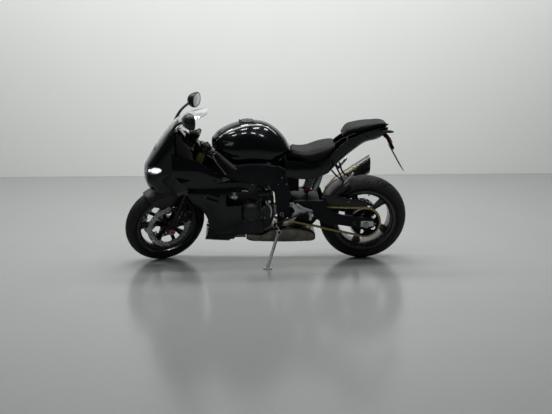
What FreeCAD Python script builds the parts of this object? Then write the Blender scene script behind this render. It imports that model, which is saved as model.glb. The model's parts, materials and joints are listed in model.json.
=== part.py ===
"""A sport bike that leans on its side stand, as a parametric assembly in millimetres.

Every piece is modelled on the upright bike: X runs to the rear, Y to the rider's right,
Z up, and the origin is on the ground halfway between the axles. The fork and what it
carries are modelled along the steering axis, and each wheel about its own axle. The last
step leans the whole bike onto its stand, turns the steering to its left stop and moves
the origin to the bottom centre of the parked bike.
"""
import FreeCAD, Part
import math
import os

import Sketcher

Vector = FreeCAD.Vector
Rotation = FreeCAD.Rotation
Placement = FreeCAD.Placement
AXIS_X = Vector(1, 0, 0)
AXIS_Y = Vector(0, 1, 0)
AXIS_Z = Vector(0, 0, 1)
ORIGIN = Vector(0, 0, 0)

doc = FreeCAD.newDocument("sport_bike")

# ---------------------------------------------------------------- driving dimensions
SIZES = (
    # alias, value, what it is
    ("wheelbase", 1457, "front axle to rear axle"),
    ("rake", 23.6, "steering axis from the vertical, degrees"),
    ("trail", 99.8, "steering axis ahead of the front contact point"),
    ("lean", 10.5, "lean to the left on the side stand, degrees"),
    ("lock", 26, "steering angle from straight ahead to its stop, degrees"),
    ("front_tyre_radius", 300, "120/70 on a 17 inch rim"),
    ("front_tyre_half", 58, "half width of the front tread"),
    ("front_crown", 60, "front tread arc"),
    ("front_rim_half", 44.5, "half of a 3.5 inch rim"),
    ("rear_tyre_radius", 320.4, "190/55 on a 17 inch rim"),
    ("rear_tyre_half", 94, "half width of the rear tread"),
    ("rear_crown", 103, "rear tread arc"),
    ("rear_rim_half", 76, "half of a 6 inch rim"),
    ("tyre_wall", 9, "tread and sidewall thickness"),
    ("bead_radius", 218, "where the tyre sits on the rim"),
    ("flange_radius", 232, "outside of the rim flange"),
    ("well_radius", 200, "drop centre of the rim"),
    ("rim_wall", 5, "barrel thickness"),
    ("front_hub_half", 62, "half length of the front hub"),
    ("rear_hub_half", 84, "half length of the rear hub"),
    ("hub_radius", 34, "outside of both hubs"),
    ("spoke_half", 19, "half thickness of the spoked web"),
    ("front_axle_radius", 12.5, "front axle"),
    ("rear_axle_radius", 14, "rear axle"),
    ("axle_running", 0.05, "radial clearance of a wheel on its axle"),
    ("window_inner", 66, "inner end of the gaps between the spokes"),
    ("window_outer", 190, "outer end of the gaps between the spokes"),
    ("front_disc_radius", 160, "front brake discs"),
    ("rear_disc_radius", 110, "rear brake disc"),
    ("disc_thickness", 5, "all brake discs"),
    ("fork_half", 105, "fork leg from the centre plane"),
    ("fork_outer_radius", 28, "upper fork tube"),
    ("fork_inner_radius", 22.5, "lower fork tube"),
    ("fork_base", 300, "lower tube's foot, along the steering axis"),
    ("fork_split", 620, "lower end of the upper tube, along the steering axis"),
    ("fork_top", 1018, "top of the fork, along the steering axis"),
    ("lower_clamp", 758, "underside of the lower fork clamp, along the steering axis"),
    ("upper_clamp", 948, "underside of the upper fork clamp, along the steering axis"),
    ("clamp_thickness", 26, "both fork clamps"),
    ("stem_radius", 15, "steering stem"),
    ("bearing_gap", 0.3, "stem to head tube"),
    ("head_radius", 37, "outside of the head tube"),
    ("stem_bore", 8, "radius of the hole through the steering stem"),
    ("pivot_along", 118, "swingarm pivot, X"),
    ("pivot_height", 415, "swingarm pivot, Z"),
    ("sprocket_pitch_radius", 111.3, "44 teeth for 15.875 pitch chain"),
    ("sprocket_thickness", 7, "rear sprocket"),
    ("drive_sprocket_radius", 43.2, "17 teeth"),
    ("drive_along", 45, "drive sprocket, X"),
    ("drive_height", 420, "drive sprocket, Z"),
    ("chain_offset", 112, "chain line from the centre plane"),
    ("chain_height", 15, "height of a side plate"),
    ("chain_width", 22, "over the pins"),
    ("panel", 3, "painted panels"),
    ("screen", 3, "windscreen"),
    ("spool_bore", 4, "radius of the M8 holes for stand spools"),
    ("stand_radius", 12, "side stand leg"),
    ("stand_along", 97, "side stand pivot, X"),
    ("stand_side", 155, "side stand pivot, to the left"),
    ("stand_height", 272, "side stand pivot, Z"),
    ("stand_ahead", 84, "foot ahead of the pivot when parked"),
    ("stand_reach", 322, "foot to the left of the tyres' line when parked"),
    ("stand_pin", 6, "radius of the side stand's pin"),
    ("cap_reach", 54, "filler's centre behind its hinge"),
    ("cap_pin", 2, "radius of the filler lid's pin"),
    ("lamp_gap", 1.5, "round the headlights"),
    ("lamp_depth", 24, "headlights, back and across from the nose's skin"),
    ("can_radius", 62, "silencer, at its end"),
    ("can_end", 800, "silencer's rear face, X"),
    ("rail_width", 14, "seat subframe rails"),
    ("rail_bar_radius", 9, "cross bars of the seat subframe"),
    ("rail_bar_half", 70, "half length of those bars"),
    ("tray_half", 58, "half width of the undertray"),
    ("engine_half", 148, "half width over the cylinders"),
    ("gearbox_half", 92, "half width over the gearbox"),
    ("alternator_radius", 79, "alternator cover"),
    ("alternator_depth", 34, "alternator cover's wall"),
    ("clutch_radius", 88, "clutch cover"),
    ("clutch_depth", 33, "clutch cover's wall"),
    ("cup_radius", 60, "drive sprocket cover"),
    ("cup_depth", 52, "drive sprocket cover"),
    ("rear_axle_half", 172, "half length of the rear axle"),
    ("plate_arm_half", 34, "half width of the plate holder's arm"),
    ("plate_half", 90, "half width of the blank plate"),
    ("reflector_half", 37, "half width of the rear reflector"),
)
sheet = doc.addObject("Spreadsheet::Sheet", "Sizes")
for number, (alias, amount, _) in enumerate(SIZES, start=1):
    sheet.set("A%d" % number, alias)
    sheet.set("B%d" % number, str(amount))
    sheet.setAlias("B%d" % number, alias)
doc.recompute()


def size(alias):
    """Read one driving dimension from the sheet."""
    return float(sheet.get(alias))


def formula(text):
    """Work out a formula of the sheet's aliases."""
    result = sheet.evalExpression(text)
    return float(getattr(result, "Value", result))


# ---------------------------------------------------------------- where things stand
RAKE = math.radians(size("rake"))
FRONT_AXLE = Vector(-size("wheelbase") / 2, 0, size("front_tyre_radius"))
REAR_AXLE = Vector(size("wheelbase") / 2, 0, size("rear_tyre_radius"))
STEERING_POINT = Vector(-size("wheelbase") / 2 - size("trail"), 0, 0)
STEERING_AXIS = Vector(math.sin(RAKE), 0, math.cos(RAKE))
FORK_FRAME = Placement(STEERING_POINT, Rotation(AXIS_Y, size("rake")))
AXLE_IN_FORK = FORK_FRAME.inverse().multVec(FRONT_AXLE)
TURN = Placement(ORIGIN, Rotation(STEERING_AXIS, size("lock")), STEERING_POINT)


def tyre_bottom(centre, axle, radius, crown):
    """Height of the lowest point of a round-crowned tyre."""
    ring = (radius - crown) * math.sqrt(1 - axle.z ** 2)
    return centre.z - ring - crown


def parked():
    """Lean the bike, pitch it until both tyres touch the ground, and lift it onto Z = 0."""
    lean = Rotation(AXIS_X, size("lean"))
    pitch = 0.0
    for _ in range(20):
        turned = lean.multiply(Rotation(AXIS_Y, pitch))
        front = tyre_bottom(
            turned.multVec(TURN.multVec(FRONT_AXLE)),
            turned.multVec(TURN.Rotation.multVec(AXIS_Y)),
            size("front_tyre_radius"), size("front_crown"))
        rear = tyre_bottom(
            turned.multVec(REAR_AXLE), turned.multVec(AXIS_Y),
            size("rear_tyre_radius"), size("rear_crown"))
        pitch -= math.degrees((front - rear) / size("wheelbase"))
    return Placement(Vector(0, 0, -rear), turned)


PARKED = parked()
STEERED = PARKED.multiply(TURN)

# Every finished sub-part: node name, document object, where its own frame stands.
pieces = []


def finish(item, node, stands=PARKED):
    """Give a sub-part its node name and note where it stands."""
    item.Label = node
    pieces.append((node, item, stands))
    return item


# ---------------------------------------------------------------- drawing helpers
def feature(node, shape, stands=PARKED):
    """Keep a shape made with Part's functions as one sub-part."""
    item = doc.addObject("Part::Feature", node)
    item.Shape = shape
    return finish(item, node, stands)


def primitive(kind, name, sizes, base=ORIGIN, along=AXIS_Z):
    """Make a Part primitive, its sizes bound to the sheet, its own Z axis turned along."""
    item = doc.addObject("Part::" + kind, name)
    for side, text in sizes.items():
        item.setExpression(side, text)
    item.Placement = Placement(base, Rotation(AXIS_Z, along))
    return item


def fused(name, items):
    """Join document objects."""
    item = doc.addObject("Part::MultiFuse", name)
    item.Shapes = items
    item.Refine = True
    return item


def without(name, base, tool):
    """Cut one document object from another."""
    item = doc.addObject("Part::Cut", name)
    item.Base = base
    item.Tool = tool
    return item


def origin_plane(body, role):
    """Find one of a body's own origin planes or axes."""
    return next(f for f in body.Origin.OriginFeatures if f.Role == role)


def new_sketch(body, name, role):
    """Start a sketch on one of the body's origin planes."""
    sketch = body.newObject("Sketcher::SketchObject", name)
    sketch.AttachmentSupport = [(origin_plane(body, role), "")]
    sketch.MapMode = "FlatFace"
    return sketch


def draw_outline(sketch, corners):
    """Draw a closed outline whose corners are pairs of formulas bound to the sheet."""
    points = [Vector(formula(across), formula(up), 0) for across, up in corners]
    first = sketch.GeometryCount
    count = len(points)
    for i, point in enumerate(points):
        sketch.addGeometry(Part.LineSegment(point, points[(i + 1) % count]), False)
    for i in range(count):
        joint = Sketcher.Constraint("Coincident", first + i, 2, first + (i + 1) % count, 1)
        sketch.addConstraint(joint)
    for i, (across, up) in enumerate(corners):
        for kind, text, amount in (
                ("DistanceX", across, points[i].x), ("DistanceY", up, points[i].y)):
            held = sketch.addConstraint(
                Sketcher.Constraint(kind, -1, 1, first + i, 1, amount))
            sketch.setExpression("Constraints[%d]" % held, text)


def padded(name, corners, length, stands=Placement()):
    """Pad an outline in the XZ plane to both sides of it."""
    body = doc.addObject("PartDesign::Body", name)
    sketch = new_sketch(body, name + "_outline", "XZ_Plane")
    draw_outline(sketch, [(str(x), str(z)) for x, z in corners])
    pad = body.newObject("PartDesign::Pad", name + "_pad")
    pad.Profile = sketch
    pad.SideType = "Symmetric"
    pad.setExpression("Length", length)
    body.Placement = stands
    return body


def offset_line(points, wall):
    """Copy an open line to its right by the wall, with mitred corners."""
    normals = []
    for (a0, b0), (a1, b1) in zip(points, points[1:]):
        run = math.hypot(a1 - a0, b1 - b0)
        normals.append(((b1 - b0) / run, (a0 - a1) / run))
    moved = []
    for i, (a, b) in enumerate(points):
        before = normals[max(i - 1, 0)]
        after = normals[min(i, len(normals) - 1)]
        na = before[0] + after[0]
        nb = before[1] + after[1]
        scale = 2 * wall / (na * na + nb * nb)
        moved.append((a + na * scale, b + nb * scale))
    return moved


def eased_wire(points, radii, closed=True):
    """Join points by straight edges, with a tangent arc of the given radius at each corner."""
    count = len(points)
    edges = []
    ends = []
    for i, point in enumerate(points):
        if radii[i] == 0 or (not closed and i in (0, count - 1)):
            ends.append((point, None, point))
            continue
        back = points[i - 1] - point
        ahead = points[(i + 1) % count] - point
        turn = math.pi - back.getAngle(ahead)
        reach = min(radii[i] * math.tan(turn / 2), 0.45 * min(back.Length, ahead.Length))
        start = point + back.normalize() * reach
        stop = point + ahead.normalize() * reach
        radius = reach / math.tan(turn / 2)
        depth = radius / math.cos(turn / 2) - radius
        inward = (back + ahead).normalize()
        ends.append((start, point + inward * depth, stop))
    for i in range(count if closed else count - 1):
        start, middle, stop = ends[i]
        if middle is not None:
            edges.append(Part.Arc(start, middle, stop).toShape())
        edges.append(Part.LineSegment(stop, ends[(i + 1) % count][0]).toShape())
    return Part.Wire(edges)


def loft(wires):
    """Join sections by ruled faces into one solid."""
    solid = Part.makeLoft(wires, True, True)
    if solid.Volume < 0:
        solid.reverse()
    return solid


def over(row):
    """Turn a row of half widths and heights, bottom to top, into an arch, left to right."""
    half = list(zip(row[1::2], row[2::2]))
    return [(-y, z) for y, z in half] + [(y, z) for y, z in reversed(half)]


def arch_solid(table, ease):
    """Loft closed sections: each row is X, then half width and height from bottom to top."""
    wires = []
    for row in table:
        points = [Vector(row[0], y, z) for y, z in over(row)]
        wires.append(eased_wire(points, [ease] * len(points)))
    return loft(wires)


def strip(outer, wall, ease, place):
    """Close a thin section between an open line and its copy inside it."""
    inner = offset_line(outer, wall)
    points = [place(a, b) for a, b in outer] + [place(a, b) for a, b in reversed(inner)]
    bends = [ease] * (len(outer) - 2)
    bends_inside = [max(ease - wall, 1)] * (len(outer) - 2)
    return eased_wire(points, [0] + bends + [0, 0] + bends_inside + [0])


def arch_shell(table, wall, ease):
    """Loft thin arches: each row is X, then half width and height from bottom to top."""
    return loft([
        strip(over(row), wall, ease, lambda y, z, x=row[0]: Vector(x, y, z)) for row in table])


def arch_shell_up(table, wall, ease):
    """Loft thin troughs: each row is X, then half width and height from rim to bottom."""
    return loft([
        strip(over(row)[::-1], wall, ease, lambda y, z, x=row[0]: Vector(x, y, z))
        for row in table])


def side_panel(table, wall, ease):
    """Loft the left panel of a pair: each row is X, then half width and height, bottom up."""
    wires = []
    for row in table:
        line = [(-y, z) for y, z in zip(row[1::2], row[2::2])]
        wires.append(strip(line, wall, ease, lambda y, z, x=row[0]: Vector(x, y, z)))
    return loft(wires)


def level_panel(table, wall, ease):
    """Loft the left panel of a pair: each row is Z, then X and half width, rear to front."""
    wires = []
    for row in table:
        line = [(x, -y) for x, y in zip(row[1::2], row[2::2])]
        wires.append(strip(line, wall, ease, lambda x, y, z=row[0]: Vector(x, y, z)))
    return loft(wires)


def other_side(shape):
    """Mirror a shape through the centre plane."""
    return shape.mirror(ORIGIN, AXIS_Y)


def pair(left):
    """Keep a left piece and its mirror image together."""
    return Part.makeCompound([left, other_side(left)])


def block(x, y, z):
    """Make a box from three pairs of limits."""
    corner = Vector(x[0], y[0], z[0])
    return Part.makeBox(x[1] - x[0], y[1] - y[0], z[1] - z[0], corner)


def rod(start, stop, radius):
    """Make a round bar between two points."""
    return Part.makeCylinder(radius, (stop - start).Length, start, stop - start)


def plate(outline, y0, y1):
    """Extrude a side-view outline of X and Z between two planes across the bike."""
    wire = Part.makePolygon([Vector(x, y0, z) for x, z in outline + outline[:1]])
    return Part.Face(wire).extrude(Vector(0, y1 - y0, 0))


def tube_along(points, radius, bend):
    """Sweep a round bar along straight runs joined by tangent arcs."""
    spine = eased_wire(points, [bend] * len(points), closed=False)
    ring = Part.Circle(points[0], points[1] - points[0], radius).toShape()
    return spine.makePipeShell([Part.Wire([ring])], True, False)


def spun(outline, start, sweep):
    """Turn an outline of radius and Y about the Y axis, from one angle above the rear."""
    wire = Part.makePolygon([Vector(r, y, 0) for r, y in outline + outline[:1]])
    face = Part.Face(wire)
    face.rotate(ORIGIN, AXIS_Y, -start)
    return face.revolve(ORIGIN, AXIS_Y, -sweep)


# ---------------------------------------------------------------- wheels
def tyre(node, which, stands):
    """A tubeless tyre: round tread, sidewalls, and beads on the rim."""
    body = doc.addObject("PartDesign::Body", node)
    sketch = new_sketch(body, node + "_section", "XY_Plane")
    radius = size(which + "_tyre_radius")
    crown = size(which + "_crown")
    half = size(which + "_tyre_half")
    rim = size(which + "_rim_half")
    wall = size("tyre_wall")
    edge = radius - crown + math.sqrt(crown ** 2 - half ** 2)
    inner_half = half - wall
    inner_edge = radius - crown + math.sqrt((crown - wall) ** 2 - inner_half ** 2)
    seat = size("bead_radius") + 1.5
    lip = size("flange_radius") + 2
    side = [
        (edge, half), (lip + 2, rim + 2), (lip, rim - 0.3), (seat, rim - 1),
        (seat, rim - 13), (inner_edge, inner_half)]
    corners = [Vector(r, y, 0) for r, y in side]
    corners += [Vector(r, -y, 0) for r, y in reversed(side)]
    arcs = {
        len(side) - 1: Part.Arc(corners[5], Vector(radius - wall, 0, 0), corners[6]),
        len(corners) - 1: Part.Arc(corners[-1], Vector(radius, 0, 0), corners[0])}
    for i, corner in enumerate(corners):
        straight = Part.LineSegment(corner, corners[(i + 1) % len(corners)])
        sketch.addGeometry(arcs.get(i, straight), False)
    for arc, text in zip(arcs, ("%s_crown - Sizes.tyre_wall", "%s_crown")):
        held = sketch.addConstraint(
            Sketcher.Constraint("Radius", arc, sketch.Geometry[arc].Radius))
        sketch.setExpression("Constraints[%d]" % held, "Sizes." + text % which)
    turn = body.newObject("PartDesign::Revolution", node + "_revolution")
    turn.Profile = sketch
    turn.ReferenceAxis = (sketch, ["V_Axis"])
    turn.Angle = 360
    finish(body, node, stands)


def rim(node, which, spoke_angle, spoke_half_angle, stands):
    """A cast wheel: barrel, hub and web in one turning, then five gaps cut in the web."""
    body = doc.addObject("PartDesign::Body", node)
    half = "Sizes.%s_rim_half" % which
    hub = "Sizes.%s_hub_half" % which
    wall = "Sizes.rim_wall"
    side = [
        ("Sizes.flange_radius", half + " + " + wall),
        ("Sizes.flange_radius", half),
        ("Sizes.bead_radius + 1", half + " - 1"),
        ("Sizes.bead_radius + 1", half + " - 14"),
        ("Sizes.well_radius", half + " - 22")]
    inside = [
        ("Sizes.bead_radius - 4", half + " + " + wall),
        ("Sizes.bead_radius - 4", half + " - 12"),
        ("Sizes.well_radius - 6", half + " - 21"),
        ("Sizes.well_radius - 6", "Sizes.spoke_half"),
        ("Sizes.hub_radius + 8", "Sizes.spoke_half + 6"),
        ("Sizes.hub_radius", hub),
        ("Sizes.%s_axle_radius + Sizes.axle_running" % which, hub)]
    top = list(reversed(side)) + inside
    corners = top + [(r, "-(%s)" % y) for r, y in reversed(top)]
    sketch = new_sketch(body, node + "_section", "XY_Plane")
    draw_outline(sketch, corners)
    turn = body.newObject("PartDesign::Revolution", node + "_turning")
    turn.Profile = sketch
    turn.ReferenceAxis = (sketch, ["V_Axis"])
    turn.Angle = 360
    doc.recompute()
    solid_volume = turn.Shape.Volume
    gap = new_sketch(body, node + "_gap", "XZ_Plane")
    near = spoke_angle + spoke_half_angle * 1.6
    far = spoke_angle + spoke_half_angle
    polar = "Sizes.window_%s * %s(%s deg)"
    outline = []
    for reach, angle in (("inner", near), ("outer", far), ("outer", spoke_angle + 36),
                         ("outer", spoke_angle + 72 - spoke_half_angle),
                         ("inner", spoke_angle + 72 - spoke_half_angle * 1.6)):
        outline.append((polar % (reach, "cos", angle), polar % (reach, "sin", angle)))
    draw_outline(gap, outline)
    pocket = body.newObject("PartDesign::Pocket", node + "_gap_cut")
    pocket.Profile = gap
    pocket.Type = "ThroughAll"
    pocket.Midplane = True
    doc.recompute()
    gaps = body.newObject("PartDesign::PolarPattern", node + "_gaps")
    gaps.Originals = [pocket]
    gaps.Axis = (gap, ["N_Axis"])
    gaps.Angle = 360
    gaps.Occurrences = 5
    body.Tip = gaps
    doc.recompute()
    assert body.Shape.Volume < solid_volume - 5 * 1000, "the gaps between the spokes are cut"
    finish(body, node, stands)


def drilled_disc(radius, inner, holes, hole_radius, arms, arm_width, hub, y):
    """A brake disc: drilled ring, arms and a carrier round the hub, about the Y axis."""
    thickness = size("disc_thickness")
    base = Vector(0, y, 0)
    disc = Part.makeCylinder(radius, thickness, base, AXIS_Y)
    disc = disc.cut(Part.makeCylinder(inner, thickness, base, AXIS_Y))
    drills = []
    for i in range(holes):
        angle = 2 * math.pi * i / holes
        reach = inner + (radius - inner) * (0.3 if i % 2 else 0.7)
        at = Vector(reach * math.cos(angle), y, reach * math.sin(angle))
        drills.append(Part.makeCylinder(hole_radius, thickness, at, AXIS_Y))
    disc = disc.cut(Part.makeCompound(drills))
    carrier = Part.makeCylinder(hub + 14, thickness, base, AXIS_Y)
    for i in range(arms):
        arm = block((hub, inner + 3), (y, y + thickness), (-arm_width / 2, arm_width / 2))
        arm.rotate(ORIGIN, AXIS_Y, 360 * i / arms)
        carrier = carrier.fuse(arm)
    bore = Part.makeCylinder(hub, thickness, base, AXIS_Y)
    return disc.fuse(carrier).cut(bore).removeSplitter()


def rear_sprocket(stands):
    """A 44-tooth sprocket on its carrier at the left end of the rear hub."""
    pitch = size("sprocket_pitch_radius")
    thickness = size("sprocket_thickness")
    y = -size("chain_offset") - thickness / 2
    tip = pitch + 4.5
    wheel = Part.makeCylinder(tip, thickness, Vector(0, y, 0), AXIS_Y)
    teeth = 44
    seats = []
    for i in range(teeth):
        angle = 2 * math.pi * (i + 0.5) / teeth
        at = Vector(pitch * math.cos(angle), y, pitch * math.sin(angle))
        seats.append(Part.makeCylinder(5.1, thickness, at, AXIS_Y))
    wheel = wheel.cut(Part.makeCompound(seats))
    lightening = []
    for i in range(5):
        angle = 2 * math.pi * (i + 0.5) / 5
        at = Vector(76 * math.cos(angle), y, 76 * math.sin(angle))
        lightening.append(Part.makeCylinder(17, thickness, at, AXIS_Y))
    wheel = wheel.cut(Part.makeCompound(lightening))
    carrier_end = size("rear_hub_half") + 0.5
    carrier = Part.makeCylinder(56, -carrier_end - y - thickness, Vector(0, y + thickness, 0), AXIS_Y)
    running = size("rear_axle_radius") + size("axle_running")
    bore = Part.makeCylinder(running, 60, Vector(0, y - 10, 0), AXIS_Y)
    feature("rear_sprocket", wheel.fuse(carrier).cut(bore), stands)


def wheels():
    """Both wheels with what turns on them."""
    front = STEERED.multiply(Placement(FRONT_AXLE, Rotation()))
    rear = PARKED.multiply(Placement(REAR_AXLE, Rotation()))
    tyre("front_tyre", "front", front)
    rim("front_rim", "front", 29, 8.5, front)
    hub_end = size("front_hub_half")
    left = drilled_disc(size("front_disc_radius"), 124, 40, 3.6, 5, 26, 26,
                        -hub_end - size("disc_thickness") - 0.2)
    feature("front_brake_discs", pair(left), front)
    tyre("rear_tyre", "rear", rear)
    rim("rear_rim", "rear", 41, 9, rear)
    feature("rear_brake_disc",
            drilled_disc(size("rear_disc_radius"), 82, 30, 3.2, 5, 20, 26, 99), rear)
    rear_sprocket(rear)


# ---------------------------------------------------------------- fork and steering
def steering():
    """Everything that turns with the handlebars, along the steering axis."""
    fork = STEERED.multiply(FORK_FRAME)
    ahead = AXLE_IN_FORK.x
    half = size("fork_half")
    outer = size("fork_outer_radius")
    inner = size("fork_inner_radius")
    split = size("fork_split")
    top = size("fork_top")
    tubes = []
    legs = []
    for side in (-1, 1):
        foot = Vector(ahead, side * half, size("fork_base"))
        sleeve = Part.makeCylinder(outer, top - split, Vector(ahead, side * half, split))
        inside = Part.makeCylinder(inner + 0.5, top - split - 12, Vector(ahead, side * half, split))
        tubes.append(sleeve.cut(inside))
        leg = Part.makeCylinder(inner, top - 160 - size("fork_base"), foot)
        knuckle = block((ahead - 27, ahead + 27), (side * half - 23, side * half + 23),
                        (AXLE_IN_FORK.z - 30, AXLE_IN_FORK.z + 60))
        arm = block((ahead + 10, ahead + 62), (side * half - 17, side * half - 3) if side > 0
                    else (side * half + 3, side * half + 17),
                    (AXLE_IN_FORK.z + 28, AXLE_IN_FORK.z + 112))
        bore = Part.makeCylinder(size("front_axle_radius") + 0.2, 60,
                                 Vector(ahead, side * half - 30, AXLE_IN_FORK.z), AXIS_Y)
        legs.append(leg.fuse([knuckle, arm]).cut(bore).removeSplitter())
    feature("fork_outer_tubes", Part.makeCompound(tubes), fork)
    feature("fork_inner_tubes", Part.makeCompound(legs), fork)

    low = size("lower_clamp")
    high = size("upper_clamp")
    thick = size("clamp_thickness")
    clamps = []
    for height in (low, high):
        bridge = block((ahead - 24, 26), (-half, half), (height, height + thick))
        ends = [Part.makeCylinder(outer + 9, thick, Vector(ahead, s * half, height)) for s in (-1, 1)]
        clamps.append(bridge.fuse(ends))
    stem = Part.makeCylinder(size("stem_radius"), high + thick - low + 14, Vector(0, 0, low - 14))
    yoke = clamps[0].fuse([clamps[1], stem])
    holes = [Part.makeCylinder(outer + 0.3, 400, Vector(ahead, s * half, low - 50)) for s in (-1, 1)]
    holes.append(Part.makeCylinder(size("stem_bore"), 400, Vector(0, 0, low - 50)))
    feature("fork_clamps", yoke.cut(Part.makeCompound(holes)).removeSplitter(), fork)

    axle = Part.makeCylinder(size("front_axle_radius"), 264, Vector(0, -132, 0), AXIS_Y)
    spacers = []
    for side in (-1, 1):
        hub_end = size("front_hub_half") + size("disc_thickness") + 1
        start = Vector(0, side * hub_end, 0)
        spacers.append(Part.makeCylinder(18, 81.8 - hub_end, start, AXIS_Y * side))
        spacers.append(Part.makeCylinder(21, 14, Vector(0, side * 128.3, 0), AXIS_Y * side))
    wheel_place = STEERED.multiply(Placement(FRONT_AXLE, Rotation()))
    feature("front_axle", axle.fuse(spacers).removeSplitter(), wheel_place)

    disc_middle = size("front_hub_half") + size("disc_thickness") / 2 + 0.2
    body = block((88, 170), (-disc_middle - 22, -disc_middle + 22), (18, 122))
    slot = block((80, 166), (-disc_middle - 7.5, -disc_middle + 7.5), (0, 140))
    feature("front_calipers", pair(body.cut(slot)), wheel_place)

    under = 308
    wall = size("panel")
    guard = [(262, -68), (285, -66), (300, -50), (under, -22), (under, 22), (300, 50), (285, 66),
             (262, 68)]
    shell = offset_line(guard, -wall)
    mudguard = spun(guard + shell[::-1], 28, 92)
    ears = []
    for side in (-1, 1):
        arm = plate([(62, 164), (104, 160), (140, 232), (98, 252), (20, 270), (-60, 263),
                     (-128, 236), (-112, 196), (-60, 176)], side * 69, side * 76)
        ears += [arm, Part.makeCylinder(10, 7, Vector(82, side * 75, 182), AXIS_Y * side)]
    feature("front_mudguard", mudguard.fuse(ears), wheel_place)

    handlebars(fork, ahead, half, outer)


def handlebars(fork, ahead, half, outer):
    """Clip-on bars with grips, levers and switch blocks, clamped over the top of the fork."""
    ring_low = 980
    ring_high = 1010
    root = Vector(-10, -half, 998)
    sweep = math.radians(30)
    droop = math.radians(8)
    out = Vector(math.sin(sweep) * math.cos(droop), -math.cos(sweep) * math.cos(droop),
                 -math.sin(droop))
    before = Vector(-math.cos(sweep), -math.sin(sweep), 0)

    def along(distance, forward=0.0, up=0.0):
        """A point beside the left bar."""
        return root + out * distance + before * forward + AXIS_Z * up

    ring = Part.makeCylinder(outer + 10, ring_high - ring_low, Vector(ahead, -half, ring_low))
    bar = rod(along(8), along(262), 11)
    grip = rod(along(128), along(256), 16.5)
    weight = rod(along(256), along(282), 14)
    switch = rod(along(96), along(126), 20)
    perch = rod(along(84), along(84, 40, -10), 11)
    lever = tube_along([along(84, 40, -10), along(120, 62, -22), along(250, 64, -50)], 6.5, 40)
    left = ring.fuse([bar, grip, weight, switch, perch, lever])
    hole = Part.makeCylinder(outer + 0.3, 80, Vector(ahead, -half, ring_low - 20))
    left = left.cut(hole)
    cup = Part.makeCylinder(17, 38, along(70, 62, -4))
    neck = rod(along(84, 30, -8), along(70, 62, 2), 9)
    right = other_side(left.fuse([cup, neck]))
    feature("handlebars", Part.makeCompound([left, right]), fork)


# ---------------------------------------------------------------- frame and engine
PIVOT = Vector(size("pivot_along"), 0, size("pivot_height"))
STAND_PIVOT = Vector(size("stand_along"), -size("stand_side"), size("stand_height"))
STAND_FOOT = PARKED.inverse().multVec(
    Vector(PARKED.multVec(STAND_PIVOT).x - size("stand_ahead"), -size("stand_reach"), 0))
# The stand's pin is the axis, nearest to straight across, that swings the leg from the
# ground to its folded line beside the bike.
STAND_LEG = (STAND_FOOT - STAND_PIVOT).normalize()
STAND_FOLDED = Vector(0.97, -0.17, 0.17).normalize()
STAND_TRAVEL = (STAND_FOLDED - STAND_LEG).normalize()
STAND_AXIS = (STAND_TRAVEL * STAND_TRAVEL.y - AXIS_Y).normalize()
STAND_SWING = math.degrees(
    (STAND_LEG - STAND_AXIS * STAND_LEG.dot(STAND_AXIS)).getAngle(
        STAND_FOLDED - STAND_AXIS * STAND_FOLDED.dot(STAND_AXIS)))


def main_frame():
    """Cast twin-spar frame: steering head, two beams, pivot plates and the stand bracket."""
    low = size("lower_clamp") + size("clamp_thickness") + 7
    high = size("upper_clamp") - 7
    head = Part.makeCylinder(size("head_radius"), high - low, Vector(0, 0, low))
    head.Placement = FORK_FRAME
    gusset = plate([(-500, 745), (-466, 842), (-405, 834), (-405, 715), (-445, 700)], -45, 45)
    wires = []
    # X, then inner and outer half widths, and the beam's low and high edges
    for x, near, far, z_low, z_high in (
            (-425, 5, 44, 716, 832), (-380, 58, 92, 712, 816), (-330, 108, 146, 704, 804),
            (-240, 152, 196, 684, 788), (-100, 164, 206, 658, 800), (0, 160, 204, 645, 796),
            (80, 134, 178, 590, 770)):
        corners = [Vector(x, -near, z_low), Vector(x, -far + 6, z_low),
                   Vector(x, -far, (z_low + z_high) / 2), Vector(x, -far + 8, z_high),
                   Vector(x, -near, z_high)]
        wires.append(eased_wire(corners, [8] * len(corners)))
    beam = loft(wires)
    side = plate([(20, 640), (30, 772), (90, 770), (150, 740), (178, 560), (168, 400), (140, 368),
                  (88, 368), (80, 470), (74, 560)], -165, -130)
    cross = Part.makeCylinder(26, 266, Vector(118, -133, 620), AXIS_Y)
    stand_arm = plate([(88, 376), (140, 376), (114, 258), (80, 258)], -136, -124.5)
    head_bore = Part.makeCylinder(size("stem_radius") + size("bearing_gap"), 400, Vector(0, 0, 700))
    head_bore.Placement = FORK_FRAME
    pivot_bore = Part.makeCylinder(12.5, 400, PIVOT - AXIS_Y * 200, AXIS_Y)
    pin = rod(STAND_PIVOT - STAND_AXIS * 24, STAND_PIVOT + STAND_AXIS * 20, size("stand_pin"))
    pin_head = rod(STAND_PIVOT + STAND_AXIS * 15.5, STAND_PIVOT + STAND_AXIS * 20, 9)
    shape = head.fuse([gusset, beam, other_side(beam), side, other_side(side), cross,
                       stand_arm, pin, pin_head])
    feature("main_frame", shape.cut(head_bore).cut(pivot_bore).removeSplitter())


def seat_subframe():
    """Rear frame under the seats: two rails and their cross bars."""
    outline = [(147, 634), (147, 700), (182, 768), (250, 762), (380, 772), (480, 838),
               (560, 900), (730, 968), (736, 950), (560, 868), (470, 790), (380, 722),
               (300, 700), (190, 676)]
    rails = [padded("subframe_rail_%d" % i, outline, "Sizes.rail_width",
                    Placement(Vector(0, y, 0), Rotation())) for i, y in enumerate((-71, 71))]
    bars = [primitive("Cylinder", "subframe_bar_%d" % i,
                      {"Radius": "Sizes.rail_bar_radius", "Height": "2 * Sizes.rail_bar_half"},
                      Vector(x, -size("rail_bar_half"), z), AXIS_Y)
            for i, (x, z) in enumerate(((420, 775), (600, 905)))]
    finish(fused("seat_subframe", rails + bars), "seat_subframe")


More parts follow.
